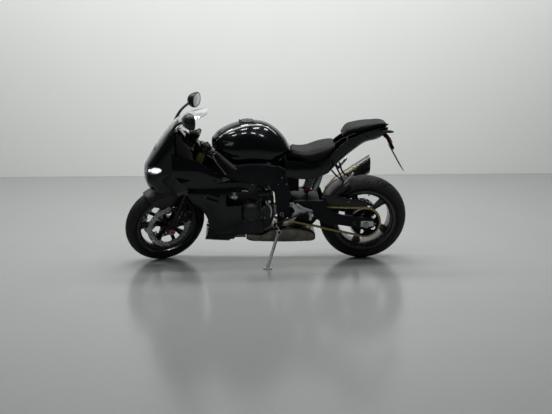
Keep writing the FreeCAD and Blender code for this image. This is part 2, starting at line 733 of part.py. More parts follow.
def engine():
    """The engine as one plain block: crankcase with cylinders, and gearbox."""
    front = padded("engine_front", [(-330, 560), (-312, 650), (-180, 690), (-20, 650),
                                    (-20, 252), (-235, 240), (-300, 300)],
                   "2 * Sizes.engine_half")
    rear = padded("engine_rear", [(-20, 640), (20, 560), (66, 520), (70, 360), (40, 292),
                                  (-20, 252)], "2 * Sizes.gearbox_half")
    finish(fused("engine_block", [front, rear]), "engine")


def engine_covers():
    """Alternator cover and drive sprocket cover on the left, clutch cover on the right."""
    rounds = []
    for name, out, x, z in (("alternator", -1, -102, 431), ("clutch", 1, -116, 410)):
        foot = Vector(x, out * (size("engine_half") + 1), z)
        radius = "Sizes.%s_radius" % name
        depth = "Sizes.%s_depth" % name
        rounds.append(primitive("Cylinder", name + "_wall", {"Radius": radius, "Height": depth},
                                foot, AXIS_Y * out))
        rounds.append(primitive("Cone", name + "_face",
                                {"Radius1": radius, "Radius2": radius + " - 20", "Height": "18"},
                                foot + AXIS_Y * (out * size(name + "_depth")), AXIS_Y * out))
    middle = Vector(size("drive_along") - 32, -93, size("drive_height"))
    cup = primitive("Cylinder", "sprocket_cup",
                    {"Radius": "Sizes.cup_radius", "Height": "Sizes.cup_depth"},
                    middle, AXIS_Y * -1)
    hollow = primitive("Cylinder", "sprocket_cup_hollow",
                       {"Radius": "Sizes.cup_radius - 6", "Height": "Sizes.cup_depth - 6"},
                       middle, AXIS_Y * -1)
    # The chain leaves to the rear, and both ends of the cup stop short of the castings.
    opening = doc.addObject("Part::Feature", "chain_opening")
    opening.Shape = block((20, 120), (-139, -80), (340, 500)).fuse([
        block((66, 120), (-160, -80), (340, 500)), block((-80, -19.5), (-160, -80), (340, 500))])
    cover = without("sprocket_cover", without("sprocket_ring", cup, hollow), opening)
    finish(fused("covers", rounds + [cover]), "engine_covers")


def radiator():
    """Curved water radiator behind the front wheel, with its side tanks."""
    wires = []
    for z in (430, 696):
        back = -392
        corners = [Vector(back, -150, z), Vector(back + 10, 0, z), Vector(back, 150, z),
                   Vector(back - 24, 150, z), Vector(back - 14, 0, z), Vector(back - 24, -150, z)]
        wires.append(Part.makePolygon(corners + corners[:1]))
    feature("radiator", loft(wires))


def exhaust():
    """Four header pipes, the silencing box under the engine, and the silencer on the right."""
    pipes = []
    for i in range(4):
        port = -120 + 80 * i
        low = -63 + 42 * i
        points = [Vector(-342, port, 606), Vector(-354, port, 545), Vector(-354, port, 350),
                  Vector(-334, low, 217), Vector(-250, low, 217), Vector(-140, low, 214)]
        pipes.append(tube_along(points, 18, 46))
    feature("exhaust_headers", Part.makeCompound(pipes))
    # X, then half width and height: bottom, low side, high side, top
    feature("exhaust_box", arch_solid((
        (-136, 70, 182, 84, 196, 84, 222, 74, 234),
        (-20, 88, 168, 104, 186, 104, 226, 90, 238),
        (60, 92, 165, 108, 190, 108, 256, 92, 272),
        (270, 92, 165, 108, 190, 108, 262, 92, 277),
        (352, 84, 168, 98, 186, 98, 232, 84, 244),
        (372, 70, 176, 80, 188, 80, 204, 70, 212)), 14))
    start = Vector(482, 222, 447)
    axis = Vector(306, 8, 201).normalize()
    entry = tube_along([Vector(312, 109, 224), Vector(312, 176, 224), Vector(410, 206, 230),
                        Vector(448, 214, 380), start], 22, 50)
    cone = Part.makeCone(26, 56, 90, start, axis)
    # the can ends in a slanted cut: its rear face stands upright
    can = Part.makeCone(56, size("can_radius"), 340, start + axis * 90, axis)
    can = can.cut(block((size("can_end"), 1000), (100, 400), (300, 1000)))
    outlet = Part.makeCylinder(27, 120, start + axis * 330, axis)
    feature("silencer", entry.fuse([cone, can]).cut(outlet).removeSplitter())


def swingarm():
    """Aluminium swingarm round the pivot, with stand spool holes and the pivot bolt."""
    middle = plate([(95, 392), (95, 440), (200, 506), (392, 506), (386, 440), (374, 334),
                    (336, 292), (236, 290), (172, 352), (140, 390)], -96, 96)
    arm_outline = [(200, 440), (200, 506), (424, 506), (446, 440), (550, 392), (690, 374),
                   (770, 368), (792, 345), (792, 300), (770, 288), (690, 290), (550, 318),
                   (430, 326), (320, 404)]
    arm = plate(arm_outline, -162, -130)
    bridge = block((200, 390), (-140, 140), (476, 505))
    pivot_tube = Part.makeCylinder(26, 196, PIVOT - AXIS_Y * 98, AXIS_Y)
    shape = middle.fuse([bridge, arm, other_side(arm), pivot_tube])
    bolt = Part.makeCylinder(12, 344, PIVOT - AXIS_Y * 172, AXIS_Y)
    slot = Part.makeCylinder(size("rear_axle_radius") + 0.2, 400, REAR_AXLE - AXIS_Y * 200, AXIS_Y)
    spool = Vector(640, 0, 338)
    spools = Part.makeCylinder(size("spool_bore"), 400, spool - AXIS_Y * 200, AXIS_Y)
    feature("swingarm", shape.cut(slot).cut(spools).fuse(bolt).removeSplitter())


def rear_axle():
    """Rear axle with its nuts, spacers and chain adjusters."""
    turned = [primitive("Cylinder", "rear_spindle",
                        {"Radius": "Sizes.rear_axle_radius", "Height": "2 * Sizes.rear_axle_half"},
                        AXIS_Y * -size("rear_axle_half"), AXIS_Y)]
    # name, radius, length, where it starts across the bike, which way it goes
    for name, radius, length, start, out in (
            ("left_nut", 22, 12, -162.5, -1), ("right_nut", 22, 12, 162.5, 1),
            ("left_spacer", 20, 12, -117.5, -1), ("right_spacer", 20, 24, 105.5, 1)):
        turned.append(primitive("Cylinder", "rear_" + name,
                                {"Radius": str(radius), "Height": str(length)},
                                AXIS_Y * start, AXIS_Y * out))
    finish(fused("rear_axle_parts", turned), "rear_axle",
           PARKED.multiply(Placement(REAR_AXLE, Rotation())))


def rear_caliper():
    """Rear brake caliper over the front of the disc, on its bracket."""
    body = block((-118, -62), (84, 124), (-46, 34))
    slot = block((-124, -50), (94, 109), (-60, 48))
    bracket = block((-70, -20), (109.5, 124), (-28, 10))
    feature("rear_brake_caliper", body.cut(slot).fuse(bracket).removeSplitter(),
            PARKED.multiply(Placement(REAR_AXLE, Rotation())))


def chain_loop(out):
    """The chain's path as a closed wire, moved out from the pitch line."""
    small = size("drive_sprocket_radius") + out
    large = size("sprocket_pitch_radius") + out
    centre = Vector(size("drive_along"), 0, size("drive_height"))
    apart = (REAR_AXLE - centre).Length
    along = (REAR_AXLE - centre).normalize()
    across = along.cross(AXIS_Y) * -1
    lean_in = math.asin((large - small) / apart)
    corners = []
    for side in (1, -1):
        normal = across * (side * math.cos(lean_in)) - along * math.sin(lean_in)
        corners.append((centre + normal * small, REAR_AXLE + normal * large))
    (top_front, top_rear), (low_front, low_rear) = corners
    edges = [
        Part.LineSegment(top_front, top_rear).toShape(),
        Part.Arc(top_rear, REAR_AXLE + along * large, low_rear).toShape(),
        Part.LineSegment(low_rear, low_front).toShape(),
        Part.Arc(low_front, centre - along * small, top_front).toShape()]
    return Part.Wire(edges)


def drive_chain():
    """The drive chain as one fixed loop: side plates closed outside the sprocket's teeth."""
    half = size("chain_height") / 2
    width = size("chain_width")
    groove = size("sprocket_thickness") + 4
    left = -size("chain_offset") - width / 2

    def band(inside, outside, y, depth):
        """The space between two offsets of the chain's path."""
        outer = Part.Face(chain_loop(outside)).extrude(AXIS_Y * depth)
        inner = Part.Face(chain_loop(inside)).extrude(AXIS_Y * depth)
        ring = outer.cut(inner)
        ring.translate(AXIS_Y * y)
        return ring

    loop = band(-half, half, left, width)
    room = band(-half - 2, half - 1.2, left + (width - groove) / 2, groove)
    feature("drive_chain", loop.cut(room))


def shock_absorber():
    """Rear spring and damper with its side reservoir."""
    low = Vector(301, 0, 514)
    high = Vector(358, 0, 700)
    along = (high - low).normalize()
    body = rod(low, high, 22)
    spring = rod(low + along * 45, low + along * 150, 36)
    collar = rod(low + along * 28, low + along * 44, 40)
    reservoir = Part.makeCylinder(24, 120, low + along * 40 + Vector(48, -52, 0), along)
    neck = rod(high - along * 24, low + along * 150 + Vector(48, -52, 0), 12)
    feature("shock_absorber", body.fuse([spring, collar, reservoir, neck]))


def rear_hugger():
    """Mudguard over the front of the rear tyre, with the chain guard on its left."""
    under = 334
    guard = [(286, -104), (310, -98), (under - 6, -60), (under, -24), (under, 24),
             (under - 6, 60), (310, 98), (286, 104)]
    shell = offset_line(guard, -size("panel"))
    shape = spun(guard + shell[::-1], 112, 38)
    shape.translate(REAR_AXLE)
    chain_guard = plate([(402, 512), (402, 536), (430, 540), (611, 508), (720, 488), (806, 446),
                         (796, 438), (760, 452), (700, 454), (430, 458), (430, 512)], -128, -125)
    feature("rear_hugger", Part.makeCompound([shape, chain_guard]))


# ---------------------------------------------------------------- bodywork
CAP_PIVOT = Vector(-174, 0, 1064)


def fuel_tank():
    """Fuel tank cover with the recessed ring round its filler."""
    # X, then half width and height: bottom, side, shoulder, crown
    shape = arch_solid((
        (-372, 36, 878, 52, 905, 44, 928, 20, 941),
        (-335, 84, 856, 122, 902, 96, 948, 42, 974),
        (-240, 150, 806, 178, 894, 130, 985, 60, 1022),
        (-90, 166, 812, 190, 896, 140, 1002, 64, 1050),
        (20, 158, 810, 172, 876, 124, 975, 58, 1030),
        (100, 118, 806, 134, 856, 102, 925, 50, 974),
        (150, 86, 846, 108, 868, 88, 892, 44, 918),
        (182, 72, 854, 86, 860, 74, 866, 36, 872)), 26)
    filler = Vector(CAP_PIVOT.x + size("cap_reach"), 0, 0)
    rim_top = CAP_PIVOT.z - 10
    ring = Part.makeCylinder(60, 40, filler + AXIS_Z * (rim_top - 40), AXIS_Z)
    recess = Part.makeCylinder(52, 30, filler + AXIS_Z * (rim_top - 8), AXIS_Z)
    shape = shape.fuse(ring).cut(recess)
    ears = [block((CAP_PIVOT.x - 5, CAP_PIVOT.x + 3.5), side, (rim_top - 2, CAP_PIVOT.z + 3))
            for side in ((-13, -9), (9, 13))]
    pin = Part.makeCylinder(size("cap_pin"), 26, CAP_PIVOT - AXIS_Y * 13, AXIS_Y)
    feature("fuel_tank", shape.fuse(ears + [pin]).removeSplitter())


def fuel_cap():
    """Filler lid with its plug, hinged at its front edge."""
    filler = Vector(CAP_PIVOT.x + size("cap_reach"), 0, 0)
    lid = Part.makeCylinder(49, 6, filler + AXIS_Z * (CAP_PIVOT.z - 8), AXIS_Z)
    plug = Part.makeCylinder(30, 8, filler + AXIS_Z * (CAP_PIVOT.z - 15), AXIS_Z)
    lug = block((CAP_PIVOT.x, CAP_PIVOT.x + 12), (-8, 8), (CAP_PIVOT.z - 4, CAP_PIVOT.z))
    barrel = Part.makeCylinder(4.4, 16, CAP_PIVOT - AXIS_Y * 8, AXIS_Y)
    bore = Part.makeCylinder(size("cap_pin") + size("axle_running"), 30,
                             CAP_PIVOT - AXIS_Y * 15, AXIS_Y)
    feature("fuel_cap", lid.fuse([plug, lug, barrel]).cut(bore).removeSplitter())


# X, then half width and height: lower edge, cheek, brow, top
COWL = (
    (-852, 40, 645, 62, 690, 50, 730, 16, 752),
    (-822, 120, 622, 150, 690, 110, 775, 34, 802),
    (-776, 158, 600, 186, 700, 146, 830, 60, 874),
    (-705, 184, 592, 206, 730, 170, 925, 90, 968),
    (-645, 196, 610, 214, 760, 186, 985, 110, 1050),
    (-620, 200, 640, 214, 780, 190, 1016, 120, 1076))
COWL_EASE = 26
# X and Z round the headlight's opening, seen from the side
LAMP = ((-838, 714), (-812, 722), (-768, 725), (-722, 744), (-710, 764), (-730, 781),
        (-776, 783), (-816, 768), (-838, 744))


def front_cowl():
    """Nose cowl: one thin shell with the headlight openings and the screen opening."""
    opening = [(-771, 93), (-700, 127.5), (-617, 145), (-500, 145)]
    around = [Vector(x, y, 800) for x, y in opening]
    around += [Vector(x, -y, 800) for x, y in reversed(opening)]
    screen_opening = Part.Face(Part.makePolygon(around + around[:1])).extrude(AXIS_Z * 400)
    chin_opening = block((-900, -600), (-112, 112), (560, 650))
    lamp = lamp_prism(size("lamp_gap"))
    shell = arch_shell(COWL, size("panel"), COWL_EASE)
    feature("front_cowl",
            shell.cut(screen_opening).cut(chin_opening).cut(lamp).cut(other_side(lamp)))


def lamp_prism(grow):
    """A prism through the left side of the nose, the headlight's outline grown by a gap."""
    middle_x, middle_z = -774, 750
    half_x, half_z = 64, 34
    outline = [(middle_x + (x - middle_x) * (1 + grow / half_x),
                middle_z + (z - middle_z) * (1 + grow / half_z)) for x, z in LAMP]
    return plate(outline, -260, -34)


def headlights():
    """Two lamp units that follow the nose cowl's skin round its corner."""
    nose = arch_solid(COWL, COWL_EASE)
    inner = nose.copy()
    inner.translate(Vector(1, 1, 0) * size("lamp_depth"))
    feature("headlights", pair(nose.common(lamp_prism(0)).cut(inner)))


def windscreen():
    """Clear bubble screen: arcs across, rising to the rear."""
    wires = []
    # X, height on the centre line, half width, drop to the side edge
    for x, top, half, drop in ((-768, 893, 90, 32), (-700, 988, 124, 52), (-617, 1078, 142, 62),
                               (-520, 1122, 138, 44), (-394, 1148, 112, 14)):
        edges = []
        rise = []
        for inside in (0, size("screen")):
            left = Vector(x, -half + inside, top - drop)
            right = Vector(x, half - inside, top - drop)
            rise.append((left, Vector(x, 0, top - inside), right))
        (left, crown, right), (left_in, crown_in, right_in) = rise
        edges.append(Part.Arc(left, crown, right).toShape())
        edges.append(Part.LineSegment(right, right_in).toShape())
        edges.append(Part.Arc(right_in, crown_in, left_in).toShape())
        edges.append(Part.LineSegment(left_in, left).toShape())
        wires.append(Part.Wire(edges))
    feature("windscreen", loft(wires))


def upper_fairings():
    """Side fairings from the nose back to the frame, one each side."""
    # X, then half width and height: lower edge, crease, upper edge
    left = side_panel((
        (-642, 222, 640, 236, 770, 214, 884),
        (-560, 232, 640, 244, 778, 216, 858),
        (-447, 236, 646, 246, 770, 224, 820),
        (-367, 230, 662, 240, 730, 228, 764),
        (-300, 222, 680, 228, 700, 222, 718)), size("panel"), 16)
    feature("upper_fairings", pair(left))


def lower_fairings():
    """Side fairings beside the engine and the belly pan that joins them underneath."""
    # Z, then X and half width: rear edge, middle, front edge
    left = level_panel((
        (668, -165, 196, -380, 221, -548, 210),
        (628, -166, 200, -378, 223, -545, 212),
        (600, -166, 210, -375, 234, -540, 222),
        (560, -168, 214, -370, 236, -530, 222),
        (470, -170, 212, -330, 228, -448, 206),
        (380, -172, 206, -310, 222, -405, 196),
        (290, -190, 190, -310, 208, -412, 180),
        (226, -226, 164, -320, 172, -430, 144)), size("panel"), 30)
    # The engine shows through a notch in the rear edge, and hot air leaves by two louvres.
    left = left.cut([
        block((-276, -100), (-300, -150), (500, 600)),
        plate([(-424, 566), (-330, 534), (-322, 547), (-416, 580)], -300, -150),
        plate([(-396, 596), (-322, 571), (-314, 584), (-388, 610)], -300, -150)])
    pan = arch_shell_up((
        (-434, 140, 222, 118, 206, 60, 198),
        (-256, 152, 222, 128, 198, 60, 191)), size("panel"), 20)
    feature("lower_fairings", Part.makeCompound([left, other_side(left), pan]))


def winglets():
    """Aero wings that slope down and out from the side fairings."""
    wires = []
    # half width, then nose and tail of the wing section in X and Z, and its thickness
    for y, nose_x, nose_z, tail_x, tail_z, thick in (
            (242, -694, 670, -616, 718, 10), (330, -602, 612, -522, 654, 6)):
        corners = [Vector(nose_x, -y, nose_z), Vector((nose_x * 2 + tail_x) / 3, -y, nose_z + thick),
                   Vector(tail_x, -y, tail_z), Vector((nose_x * 2 + tail_x) / 3, -y, nose_z - thick)]
        wires.append(Part.makePolygon(corners + corners[:1]))
    feature("winglets", pair(loft(wires)))


def mirrors():
    """Two mirrors on stalks from the nose cowl."""
    wires = []
    # distance along the mirror's own axis, half width, half height
    for reach, half_y, half_z in ((0, 70, 54), (-30, 66, 50), (-62, 42, 28)):
        corners = [Vector(reach, -half_y, -half_z * 0.7), Vector(reach, half_y, -half_z),
                   Vector(reach, half_y, half_z * 0.8), Vector(reach, -half_y, half_z)]
        wires.append(eased_wire(corners, [44] * 4))
    pod = loft(wires)
    pod.rotate(ORIGIN, AXIS_Z, 22)
    pod.translate(Vector(-486, -318, 1137))
    stalk = tube_along([Vector(-640, -188, 1012), Vector(-610, -205, 1062),
                        Vector(-552, -276, 1122), Vector(-520, -300, 1134)], 9, 30)
    feature("mirrors", pair(pod.fuse(stalk)))


def instrument_panel():
    """Display and its housing, on the fairing stay ahead of the steering head."""
    screen = block((-50, 50), (-76, 76), (-9, 9))
    screen.rotate(ORIGIN, AXIS_Y, 52)
    screen.translate(Vector(-588, 0, 996))
    housing = plate([(-650, 880), (-654, 980), (-632, 1022), (-600, 1000), (-592, 900)],
                    -96, 96)
    stay = plate([(-650, 790), (-650, 905), (-592, 905), (-502, 848), (-528, 790)], -40, 40)
    feature("instrument_panel", screen.fuse([housing, stay]))


def seats():
    """Rider's seat, and the passenger's seat on the tail."""
    # X, then half width and height: bottom, side, crown
    feature("rider_seat", arch_solid((
        (140, 70, 806, 84, 822, 60, 830),
        (180, 84, 806, 96, 828, 54, 840),
        (196, 90, 804, 100, 834, 54, 864),
        (230, 108, 802, 116, 830, 74, 856),
        (300, 129, 786, 138, 822, 86, 856),
        (380, 136, 797, 146, 838, 92, 881),
        (450, 126, 834, 134, 868, 84, 903),
        (496, 100, 868, 106, 890, 68, 915)), 22))
    feature("passenger_seat", arch_solid((
        (548, 62, 942, 70, 950, 44, 962),
        (584, 84, 962, 96, 990, 62, 1012),
        (640, 92, 980, 106, 1006, 66, 1028),
        (750, 84, 1008, 96, 1026, 60, 1044),
        (840, 62, 1024, 72, 1034, 46, 1045),
        (868, 46, 1022, 52, 1028, 32, 1033)), 16))


def tail_fairing():
    """Tail cowl: a tub under the passenger seat, a panel each side and the undertray ahead."""
    # X, then half width and height: rim, side, floor
    tub = arch_shell_up((
        (452, 132, 826, 126, 735, 84, 690),
        (545, 120, 916, 114, 838, 76, 790),
        (640, 110, 970, 104, 902, 68, 866),
        (710, 100, 996, 94, 942, 62, 912),
        (820, 82, 1018, 76, 972, 48, 942),
        (868, 62, 1018, 56, 992, 34, 974)), size("panel"), 18)
    # X, then half width and height: lower edge, middle, upper edge
    left = side_panel((
        (140, 173, 696, 182, 752, 158, 812),
        (250, 152, 670, 162, 735, 148, 794),
        (360, 138, 670, 146, 735, 138, 784),
        (448, 130, 706, 138, 760, 132, 822)), size("panel"), 14)
    wall, half = size("panel"), size("tray_half")
    tray = block((150, 246), (-half, half), (548, 786))
    tray = tray.cut(block((150 + wall, 246 - wall), (wall - half, half - wall), (548 + wall, 800)))
    feature("tail_fairing", Part.makeCompound([tub, left, other_side(left), tray]))


def rear_indicators():
    """Two slim indicator lamps on stalks at the tail."""
    lamp = block((846, 902), (-112, -90), (988, 1004))
    stalk = block((822, 848), (-100, -82), (992, 1000))
    feature("rear_indicators", pair(lamp.fuse(stalk)))


def plate_holder():
    """Plate carrier arm with a blank plate and a reflector."""
    arm = padded("plate_arm", [(846, 953), (846, 938), (868, 925), (915, 838), (925, 842),
                               (884, 945), (872, 960)], "2 * Sizes.plate_arm_half")
    blank = padded("plate_blank", [(905, 850), (992, 700), (997, 703), (912, 854)],
                   "2 * Sizes.plate_half")
    reflector = padded("reflector", [(880, 938), (904, 893), (915, 898), (891, 943)],
                       "2 * Sizes.reflector_half")
    finish(fused("plate_carrier", [arm, blank, reflector]), "plate_holder")


def footrests():
    """Footrest hangers with pegs and pedals, and the folded passenger pegs."""
    hanger = plate([(172, 502), (198, 502), (246, 458), (326, 438), (342, 424), (330, 366),
                    (312, 366), (318, 408), (248, 424), (200, 362), (172, 364), (212, 440)],
                   -176, -168)
    peg = rod(Vector(328, -174, 428), Vector(328, -248, 428), 11)
    posts = [rod(Vector(x, -170, z), Vector(x, -163, z), 8) for x, z in ((187, 489), (188, 376))]
    pedal = tube_along([Vector(300, -182, 424), Vector(200, -190, 400), Vector(110, -200, 366),
                        Vector(62, -206, 352)], 6, 30)
    toe = rod(Vector(66, -200, 352), Vector(66, -236, 352), 8)
    boss = rod(Vector(300, -174, 424), Vector(300, -190, 424), 10)
    strut = tube_along([Vector(476, -140, 798), Vector(514, -146, 730), Vector(552, -160, 656)],
                       6, 30)
    strut_low = tube_along([Vector(472, -108, 722), Vector(500, -130, 692), Vector(552, -160, 656)],
                           6, 30)
    passenger = rod(Vector(552, -166, 642), Vector(620, -176, 722), 10)
    knuckle = rod(Vector(552, -152, 654), Vector(552, -176, 654), 13)
    left = [hanger.fuse([peg, boss, pedal, toe] + posts), strut.fuse([strut_low, passenger, knuckle])]
    feature("footrests", Part.makeCompound(left + [other_side(shape) for shape in left]))


# ---------------------------------------------------------------- side stand
def side_stand():
    """Side stand leg from its pivot below the frame to a flat foot on the ground."""
    pivot = PARKED.multVec(STAND_PIVOT)
    pin_axis = PARKED.Rotation.multVec(STAND_AXIS)
    ankle = PARKED.multVec(STAND_FOOT) + AXIS_Z * 10
    leg = rod(pivot - pin_axis * 2, ankle, size("stand_radius"))
    knuckle = Part.makeCylinder(17, 26, pivot - pin_axis * 11, pin_axis)
    bore = Part.makeCylinder(size("stand_pin") + size("axle_running"), 60, pivot - pin_axis * 30,
                             pin_axis)
    foot = block((ankle.x - 34, ankle.x + 30), (ankle.y - 30, ankle.y + 22), (0, 7))
    toe = Part.makeCylinder(14, 14, Vector(ankle.x, ankle.y, 0))
    shape = leg.fuse([knuckle, foot, toe]).cut(bore)
    feature("side_stand", shape.removeSplitter(), Placement())


# ---------------------------------------------------------------- build, check, write
def build():
    """Make every sub-part."""
    for make in (main_frame, seat_subframe, engine, engine_covers, radiator, exhaust, swingarm,
                 rear_axle, rear_caliper, drive_chain, shock_absorber, rear_hugger, fuel_tank,
                 fuel_cap, front_cowl, headlights, windscreen, upper_fairings, lower_fairings,
                 winglets, mirrors, instrument_panel, seats, tail_fairing, rear_indicators,
                 plate_holder, footrests, steering, wheels, side_stand):
        make()
    doc.recompute()


def place():
    """Stand every sub-part on the ground, the origin at the bottom centre of them all."""
    limits = FreeCAD.BoundBox()
    for _, item, stands in pieces:
        item.Placement = stands
        limits.add(item.Shape.optimalBoundingBox(False, False))
    shift = Placement(Vector(-limits.Center.x, -limits.Center.y, 0), Rotation())
    for _, item, stands in pieces:
        item.Placement = shift.multiply(stands)
    doc.recompute()
    return shift


def check():
    """Stop if any object failed, or a sub-part is empty or not a valid shape."""
    for item in doc.Objects:
        if set(item.State) & {"Invalid", "Error"}:
            raise RuntimeError("%s did not build: %s" % (item.Label, item.State))
    for node, item, _ in pieces:
        if item.Shape.isNull() or not item.Shape.isValid() or item.Shape.Volume <= 0:
            raise RuntimeError("%s is not a sound solid" % node)


build()
SHIFT = place()
check()
os.makedirs("parts", exist_ok=True)
for node, item, _ in pieces:
    item.Shape.exportStep("parts/%s.step" % node)
print(len(pieces), "sub-parts written")
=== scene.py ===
"""A sport bike parked on its side stand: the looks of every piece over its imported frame.

Pieces are drawn in millimetres: on the upright bike (X to the rear, Y to the rider's right,
Z up from the ground between the wheels), on the fork (Z up the steering axis) or about a
wheel's own axle. The frames worked out first stand them on the leaning, steered bike.
"""
import json
from math import acos, asin, cos, pi, radians, sin

import bmesh
import bpy
import numpy as np
from mathutils import Matrix, Vector


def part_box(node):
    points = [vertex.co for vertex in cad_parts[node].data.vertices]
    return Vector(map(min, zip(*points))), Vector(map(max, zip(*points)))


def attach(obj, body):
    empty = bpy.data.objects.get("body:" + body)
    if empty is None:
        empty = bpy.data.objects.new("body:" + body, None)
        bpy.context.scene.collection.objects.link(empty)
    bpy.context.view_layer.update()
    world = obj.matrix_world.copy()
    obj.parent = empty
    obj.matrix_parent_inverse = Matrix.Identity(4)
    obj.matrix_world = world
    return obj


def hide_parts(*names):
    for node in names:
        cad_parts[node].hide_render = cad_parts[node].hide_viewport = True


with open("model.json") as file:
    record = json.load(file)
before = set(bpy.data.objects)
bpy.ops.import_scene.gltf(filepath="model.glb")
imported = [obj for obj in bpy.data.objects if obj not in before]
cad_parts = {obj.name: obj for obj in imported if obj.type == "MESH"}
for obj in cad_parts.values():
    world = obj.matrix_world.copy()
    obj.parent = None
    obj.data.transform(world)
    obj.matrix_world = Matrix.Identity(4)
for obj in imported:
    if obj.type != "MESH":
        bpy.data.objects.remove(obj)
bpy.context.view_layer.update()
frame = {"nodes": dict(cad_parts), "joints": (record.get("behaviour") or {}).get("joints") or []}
for old in [o for o in bpy.data.objects if o.type in ("CAMERA", "LIGHT")]:
    bpy.data.objects.remove(old)

# ---------------- how the bike stands
# The bike rests on its side stand, leaning left, with the steering at its left stop. Both
# axles and the steering axis come from the record's joints.
joints = {joint["name"]: joint for joint in frame["joints"]}
RAKE = radians(23.6)
REAR_AXLE = Vector((728.5, 0, 320.4))
AXIS_HEIGHT = 865


def stood(origin, across, up):
    """The frame, in metres, of pieces drawn in millimetres."""
    turn = Matrix((across.cross(up), across, up)).transposed().to_4x4()
    return Matrix.Translation(origin) @ turn @ Matrix.Scale(0.001, 4)


def upright(across, up_steering):
    """The bike's own up, tipped from the steering axis by the rake."""
    return up_steering * cos(RAKE) - across.cross(up_steering) * sin(RAKE)


steer_up = -Vector(joints["steering_turn"]["axis"]).normalized()
rear_across = Vector(joints["rear_wheel_spin"]["axis"]).normalized()
front_across = Vector(joints["front_wheel_spin"]["axis"]).normalized()
REAR = stood(Vector(joints["rear_wheel_spin"]["pos_m"]), rear_across, upright(rear_across, steer_up))
FRONT = stood(Vector(joints["front_wheel_spin"]["pos_m"]), front_across, upright(front_across, steer_up))
FORK = stood(Vector(joints["steering_turn"]["pos_m"]) - steer_up * AXIS_HEIGHT / 1000, front_across,
    steer_up)
BIKE = REAR @ Matrix.Translation(-REAR_AXLE)
# Pieces of the fork turn with the steering.
ON_FORK = {"where": FORK, "body": "steering"}

# ---------------- main frame
# Cast aluminium twin-spar frame: steering head, two beams round the engine, pivot plates
# and the stand's bracket, blasted and powder-coated black.


def linear(colour):
    """An sRGB hex colour as linear red, green, blue and alpha."""
    parts = [int(colour[i:i + 2], 16) / 255 for i in (1, 3, 5)]
    return [c / 12.92 if c <= 0.04045 else ((c + 0.055) / 1.055) ** 2.4 for c in parts] + [1.0]


def add(tree, kind, inputs=None, **settings):
    """Add a node. Inputs take a value, or another node's output to link."""
    node = tree.nodes.new(kind)
    for name, value in settings.items():
        setattr(node, name, value)
    for name, value in (inputs or {}).items():
        if isinstance(value, bpy.types.NodeSocket):
            tree.links.new(value, node.inputs[name])
        else:
            node.inputs[name].default_value = value
    return node


def surface(name, colour, other, rough, rough_spread, metallic=0.0, patch=70, grain=0.8, relief=0.15,
        **sockets):
    """A finish whose colour and gloss drift in patches over a fine grain, sizes in millimetres."""
    material = bpy.data.materials.new(name)
    material.use_nodes = True
    tree = material.node_tree
    shader = tree.nodes["Principled BSDF"]
    shader.inputs["Metallic"].default_value = metallic
    for socket, value in sockets.items():
        shader.inputs[socket.replace("_", " ")].default_value = value
    place = add(tree, "ShaderNodeTexCoord").outputs["Object"]
    patches = add(tree, "ShaderNodeTexNoise", {"Vector": place, "Scale": 1000 / patch, "Detail": 6.0,
        "Roughness": 0.6})
    drift = add(tree, "ShaderNodeMix", {0: patches.outputs["Fac"], 6: linear(colour), 7: linear(other)},
        data_type="RGBA")
    gloss = add(tree, "ShaderNodeMapRange", {"Value": patches.outputs["Fac"], "From Min": 0.3,
        "From Max": 0.7, "To Min": rough - rough_spread, "To Max": rough + rough_spread})
    fine = add(tree, "ShaderNodeTexNoise", {"Vector": place, "Scale": 1000 / grain, "Detail": 3.0})
    bump = add(tree, "ShaderNodeBump", {"Height": fine.outputs["Fac"], "Strength": relief,
        "Distance": grain / 1000})
    tree.links.new(drift.outputs[2], shader.inputs["Base Color"])
    tree.links.new(gloss.outputs["Result"], shader.inputs["Roughness"])
    tree.links.new(bump.outputs["Normal"], shader.inputs["Normal"])
    return material


def paint(node, material):
    """Give a CAD node that stays its finish."""
    slots = frame["nodes"][node].data.materials
    slots.clear()
    slots.append(material)


def flowing(points, steps, sharp=(), loop=False):
    """A smooth line through points, each gap in equal steps, broken at the sharp ones."""
    line = np.array(points, float).reshape(len(points), -1)
    if loop:
        count = len(line)
        line = np.vstack((line[-2:], line, line[:3]))
        return flowing(line, steps)[2 * steps:(2 + count) * steps].reshape(-1, *np.shape(points)[1:])
    made = []
    cuts = [0, *sharp, len(line) - 1]
    for first, last in zip(cuts, cuts[1:]):
        part = line[first:last + 1]
        gaps = np.maximum(np.linalg.norm(np.diff(part, axis=0), axis=1), 1e-6)
        at = np.concatenate(([0], np.cumsum(gaps)))
        slope = np.gradient(part, at, axis=0)
        for i, gap in enumerate(gaps):
            t = (np.arange(steps) / steps)[:, None]
            made.append(part[i] * (1 + 2 * t) * (1 - t) ** 2 + part[i + 1] * t ** 2 * (3 - 2 * t) + gap
                * slope[i] * t * (1 - t) ** 2 - gap * slope[i + 1] * t ** 2 * (1 - t))
    made.append(line[-1:])
    return np.vstack(made).reshape(-1, *np.shape(points)[1:])


def eased(points, radius, steps=3):
    """A closed outline with its corners rounded."""
    points = np.array(points, float)
    made = []
    for i, corner in enumerate(points):
        back = points[i - 1] - corner
        ahead = points[(i + 1) % len(points)] - corner
        reach = min(radius, 0.45 * np.linalg.norm(back), 0.45 * np.linalg.norm(ahead))
        start = corner + back / np.linalg.norm(back) * reach
        stop = corner + ahead / np.linalg.norm(ahead) * reach
        for t in np.linspace(0, 1, steps + 1):
            made.append(start * (1 - t) ** 2 + corner * 2 * t * (1 - t) + stop * t ** 2)
    return np.array(made)


